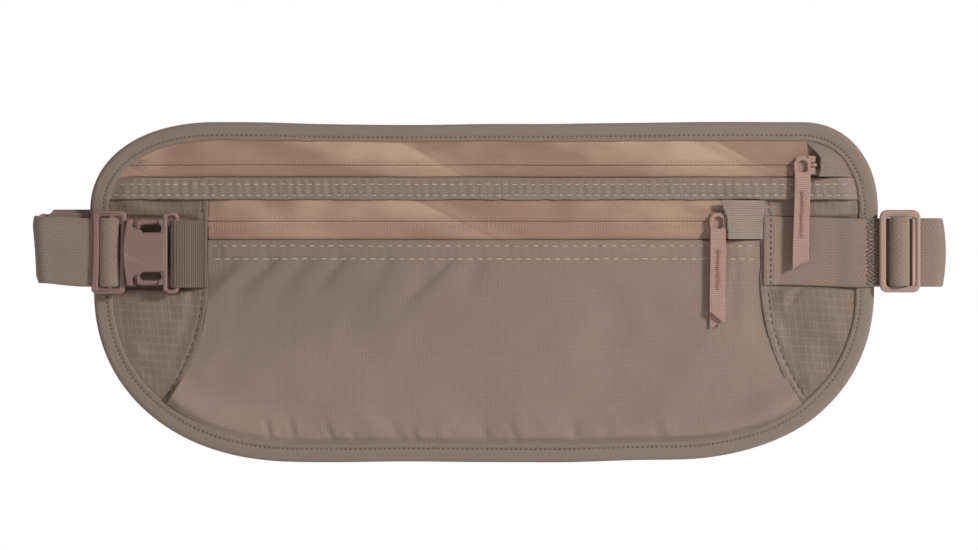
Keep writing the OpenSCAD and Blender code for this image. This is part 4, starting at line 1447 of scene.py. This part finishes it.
def latch(side, node):
    """An arm that lies in the socket's side, with the pad that finger or thumb presses."""
    arm = rounded([[-132.4, 7.75], [-128.4, 7.75], [-127.0, 7.6], [-127.2, 8.9], [-126.8, 10.0],
                   [-125.7, 10.45], [-119.5, 10.45], [-119.5, 11.95], [-126.9, 11.95], [-128.0, 11.2],
                   [-128.3, 9.35], [-132.4, 9.25]],
                  [0.5, 0.3, 0.6, 0.8, 0.7, 1.2, 0.1, 0.1, 0.9, 0.6, 0.4, 0.5])
    pad = rounded([[-128.3, 7.7], [-126.9, 7.5], [-127.1, 8.9], [-126.7, 9.95], [-125.7, 10.35], [-119.5, 10.35],
                   [-119.5, 12.05], [-126.9, 12.05], [-128.0, 11.3], [-128.2, 9.5]],
                  [0.4, 0.6, 0.8, 0.7, 1.0, 0.1, 0.1, 0.9, 0.8, 0.5])
    parts = [moulded_part([mirrored(loop, side)], low, high, 0.35, 4)
             for loop, low, high in ((arm, -1.6, 1.6), (pad, 0.0, 1.8))]
    give(join(node + "_arm", parts), node, "buckle_plastic", node)


def web_loop():
    """The ribbed loop round the socket's bar, sewn down over the left wing."""
    path = ([[-102.7, 5.65], [-104.5, 5.6], [-106.5, 5.75], [-109, 6.8]]
            + arc(SOCKET_BAR, BUCKLE_D, 1.85, 285, 80, 18)
            + [[-110, 11.2], [-107, 8.6], [-105.2, 7.2], [-104, 6.85], [-102.7, 6.75]])
    ob = web("buckle_web_loop_grosgrain", path, 24.9, 1.05, M["loop"], zc=-0.6, step=0.15, soften=1.2,
             ribs=(LOOP_RIB, 0.3), cols=16)
    give(ob, "pouch", "grosgrain", "buckle_web_loop")


def upright_stitches(name, x, d, z, dash, radius, arch, slot):
    """A column of dark stitches."""
    ob = threads(name, columns(x, d, z), columns(x, d, z + dash), (0, 1, 0), radius, arch, M["dark"])
    give(ob, "pouch", slot)


socket()
plug()
latch(1, "latch_upper")
latch(-1, "latch_lower")
web_loop()
upright_stitches("web_loop_stitches", -103.7, 7.28, np.arange(-12.1, 10.6, 3.0), 1.9, 0.3, 0.02, "grosgrain")


# ---------- adjuster ----------

ADJUSTER_BAR, ADJUSTER_D = 153.6, 8.65


def adjuster():
    """A frame with a middle bar, and a ledge inside its right side."""
    plastic = M["adjuster"]
    outside, window = rect(146.2, 161.3, -14.8, 15.75, 3.2, 10), rect(148.6, 159.6, -12.4, 12.85, 1.3, 8)
    parts = [plate([outside, window], 7.65, 9.75, 0.8, plastic, 5),
             plate([rect(158.2, 160.6, -13.0, 14.0, 0.5)], 7.75, 9.1, 0.5, plastic),
             bar(ADJUSTER_BAR, ADJUSTER_D, -13.3, 14.3, 16, 1.0, plastic)]
    give(join("adjuster_frame", parts), "adjuster", "adjuster_plastic", "adjuster")


adjuster()


# ---------- strap ----------

STRAP_W, STRAP_T = 25.4, 1.2
OUTER_D, INNER_D, LAP_D = 0.6, 1.9, 6.9
RUN_END, RUN_MIDDLE = 146.1, -40
LEFT_INNER, LEFT_OUTER = 7.0, 8.3


def strap(name, body, node, path, shape=None, step=0.8, soften=4):
    """A length of the elastic that rides on one body. node is the CAD node that it stands for, or None."""
    ob = web(name, path, STRAP_W, STRAP_T, M["elastic"], step=step, soften=soften, shape=shape, edge=0.7)
    return give(ob, body, "elastic", *([node] if node else []))


def outer_lift(x):
    """Behind the left end the outer layer of the strap stands higher, with a step."""
    return (1.5 * smooth(-167, -163.5, x) + 1.8 * smooth(-161.2, -159.4, x)) * smooth(-48, -132, x)


def inner_lift(x):
    return (2.2 * smooth(-163, -160, x) - 1.1 * smooth(-160, -130, x)) * smooth(-48, -130, x)


def lifted(lift):
    """A shape that raises the strap by lift(x)."""
    return lambda x, d, z, s: (x, d, z + lift(x))


def front_run(x, d, z, s):
    """From the stitches on the right wing, over the binding and into the adjuster."""
    d = d - (d - d.mean(1, keepdims=True)) * 0.55 * smooth(107.5, 104, x)
    d = d + 1.26 * smooth(110.5, 104.0, x) - 0.25 * bump(x, 106.2, 0.7)
    z = z + 0.5 * smooth(135, 110, x)
    d = d + 0.16 * soft(x * 0.09 + 1, z * 0.1) * smooth(108, 114, x) * smooth(141, 136, x)
    z = z + 0.25 * soft(x * 0.05 + 4, 0 * z) * smooth(146, 138, x)
    return x, d, z


def wide_hump(x, d, z, s):
    """Over the adjuster's bar the strap bulges and stands a little higher."""
    wider = 0.13 * (x - ADJUSTER_BAR) * smooth(9.0, 10.5, d)
    return x + wider, d, z + smooth(8.4, 9.6, d) * (0.3 + 0.01 * z)


def bowed_end(x, d, z, s):
    """The right fold bows outwards in its middle."""
    bow = 1.2 * (1 - (z / (STRAP_W / 2)) ** 2) - 0.3
    return x + bow * smooth(163, 170, x), d, z


def left_fold(x, d, z0, s):
    """The left fold's layers part behind the pouch, slope to the fold and press together at the plug."""
    first = s < s[-1] / 2
    z = z0 + np.where(first, outer_lift(x) * smooth(7.5, 2.2, d), inner_lift(x) * smooth(6.4, 2.8, d))
    narrowed = np.where(z0 < 0, -0.10 * z0 * smooth(-147, -165, x),
                        0.035 * z0 * smooth(-147, -155, x) * smooth(3.0, 6.5, d))
    z = z + smooth(11.2, 9.8, d) * narrowed
    tip = smooth(-160, -167, x)
    z = z + tip * 0.5 * smooth(4, 12, z0) * smooth(8.5, 7.0, d)
    new_x = x + smooth(-156, -166, x) * (0.8 - 0.09 * z0 - 0.0028 * (z0 - 4) ** 2)
    new_x = new_x + tip * 0.9 * (smooth(9.0, 13, z0) + smooth(-9.0, -13, z0))
    on_bar = smooth(9.4, 10.6, d)
    new_x = new_x + on_bar * (0.50 * (x - PLUG_BAR) - 0.45)
    ripple = 0.25 * soft(x * 0.1, z0 * 0.12 + 6) * smooth(-147, -152, x) * smooth(4, 6, d)
    rise = 0.3 * smooth(-160, -152, x) * smooth(7.4, 7.8, d) * smooth(9.4, 9.0, d)
    return new_x, d + ripple + rise - 0.35 * on_bar, z


def bend(x, d, r, start, stop):
    """A short turn at the foot of a bar."""
    return arc(x, d + r, r, start, stop, 6)


ob = strap("strap_front_run_elastic", None, "strap_front_run",
           [[103.4, 5.6], [128, 5.6], [131, 5.75], [135, 6.55], [138, 6.88], [141, LAP_D], [149.1, LAP_D]],
           front_run)
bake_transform(ob)

over, foot = 3.0, 1.4
strap("strap_hump_elastic", "adjuster", "strap_adjuster_hump",
      bend(ADJUSTER_BAR - over - foot, LAP_D, foot, -90, 0) + arc(ADJUSTER_BAR, ADJUSTER_D, over, 180, 0, 18)
      + bend(ADJUSTER_BAR + over + foot, LAP_D, foot, 180, 270) + [[159, LAP_D]],
      wide_hump, step=0.35, soften=1)

r = (LAP_D - OUTER_D) / 2
ob = strap("strap_right_fold_elastic", None, "strap_right_fold",
           [[159.1, LAP_D], [162, LAP_D]] + arc(170.4 - STRAP_T / 2 - r, OUTER_D + r, r, 90, -90, 20)
           + [[155, OUTER_D], [146.2, OUTER_D]], bowed_end, step=0.5, soften=2)
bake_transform(ob)


def run(name, body, node, x0, x1, d, shape=None):
    """A flat length behind the pouch."""
    return strap(name, body, node, [[x0, d], [(x0 + x1) / 2, d], [x1, d]], shape, step=1.6, soften=0)


for label, d, lift in (("outer", OUTER_D, outer_lift), ("inner", INNER_D, inner_lift)):
    node = f"strap_{label}_run"
    ob = run(f"{node}_left", None, node, -RUN_END, RUN_MIDDLE, d, lifted(lift))
    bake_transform(ob)
run("strap_outer_run_right", "pouch", None, RUN_MIDDLE, RUN_END, OUTER_D)
ob = run("strap_inner_run_right", None, None, RUN_MIDDLE, RUN_END, INNER_D)
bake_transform(ob)

strap("strap_tail_elastic", "adjuster", "strap_tail",
      [[146.2, INNER_D], [147.6, 2], [149.2, 2.6], [150.6, 3.8], [151.6, 5.3], [152.4, 6.4]]
      + arc(ADJUSTER_BAR, ADJUSTER_D, 1.72, -85, 200, 20), step=0.4, soften=1)

middle = (LEFT_OUTER + OUTER_D) / 2
r_out, r_in = (LEFT_OUTER - OUTER_D) / 2, (LEFT_INNER - INNER_D) / 2
fold_x = r_out + STRAP_T / 2 - 167.2
over, foot = 1.9, 1.5
strap("strap_left_fold_elastic", "plug", "strap_left_fold",
      [[-146.2, OUTER_D], [-155, OUTER_D]] + arc(fold_x, middle, r_out, 270, 90, 20)
      + [[-155, LEFT_OUTER], [-146, LEFT_OUTER]] + bend(PLUG_BAR - over - foot, LEFT_OUTER, foot, -90, 0)
      + arc(PLUG_BAR, BUCKLE_D, over, 180, 0, 18) + bend(PLUG_BAR + over - foot, LEFT_INNER, foot, 0, -90)
      + [[-146, LEFT_INNER], [-155, LEFT_INNER]] + arc(fold_x, middle, r_in, 90, 270, 16)
      + [[-155, INNER_D], [-146.2, INNER_D]], left_fold, step=0.4, soften=1)

# where the strap is sewn to the wing, and its bar tack of dark zigzags over the binding
upright_stitches("strap_end_stitches", 106.2, 6.86, np.arange(-11.8, 11.4, 2.1), 1.5, 0.22, 0.04, "elastic")
starts, stops = [], []
for n, sign, centre in ((34, -1, 142.4), (37, 1, 144.0), (36, -1, 145.3)):
    z = np.linspace(-12.3, 12.3, n) + rng.uniform(-0.15, 0.15, n)
    x = centre + sign * np.where(np.arange(n) % 2 == 0, -1.15, 1.15) + rng.uniform(-0.25, 0.25, n)
    zigzag = columns(x, 7.5, z)
    starts.append(zigzag[:-1])
    stops.append(zigzag[1:])
ob = threads("strap_bartack", np.vstack(starts), np.vstack(stops), (0, 1, 0), 0.17, 0.06, M["dark"])
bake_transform(ob)
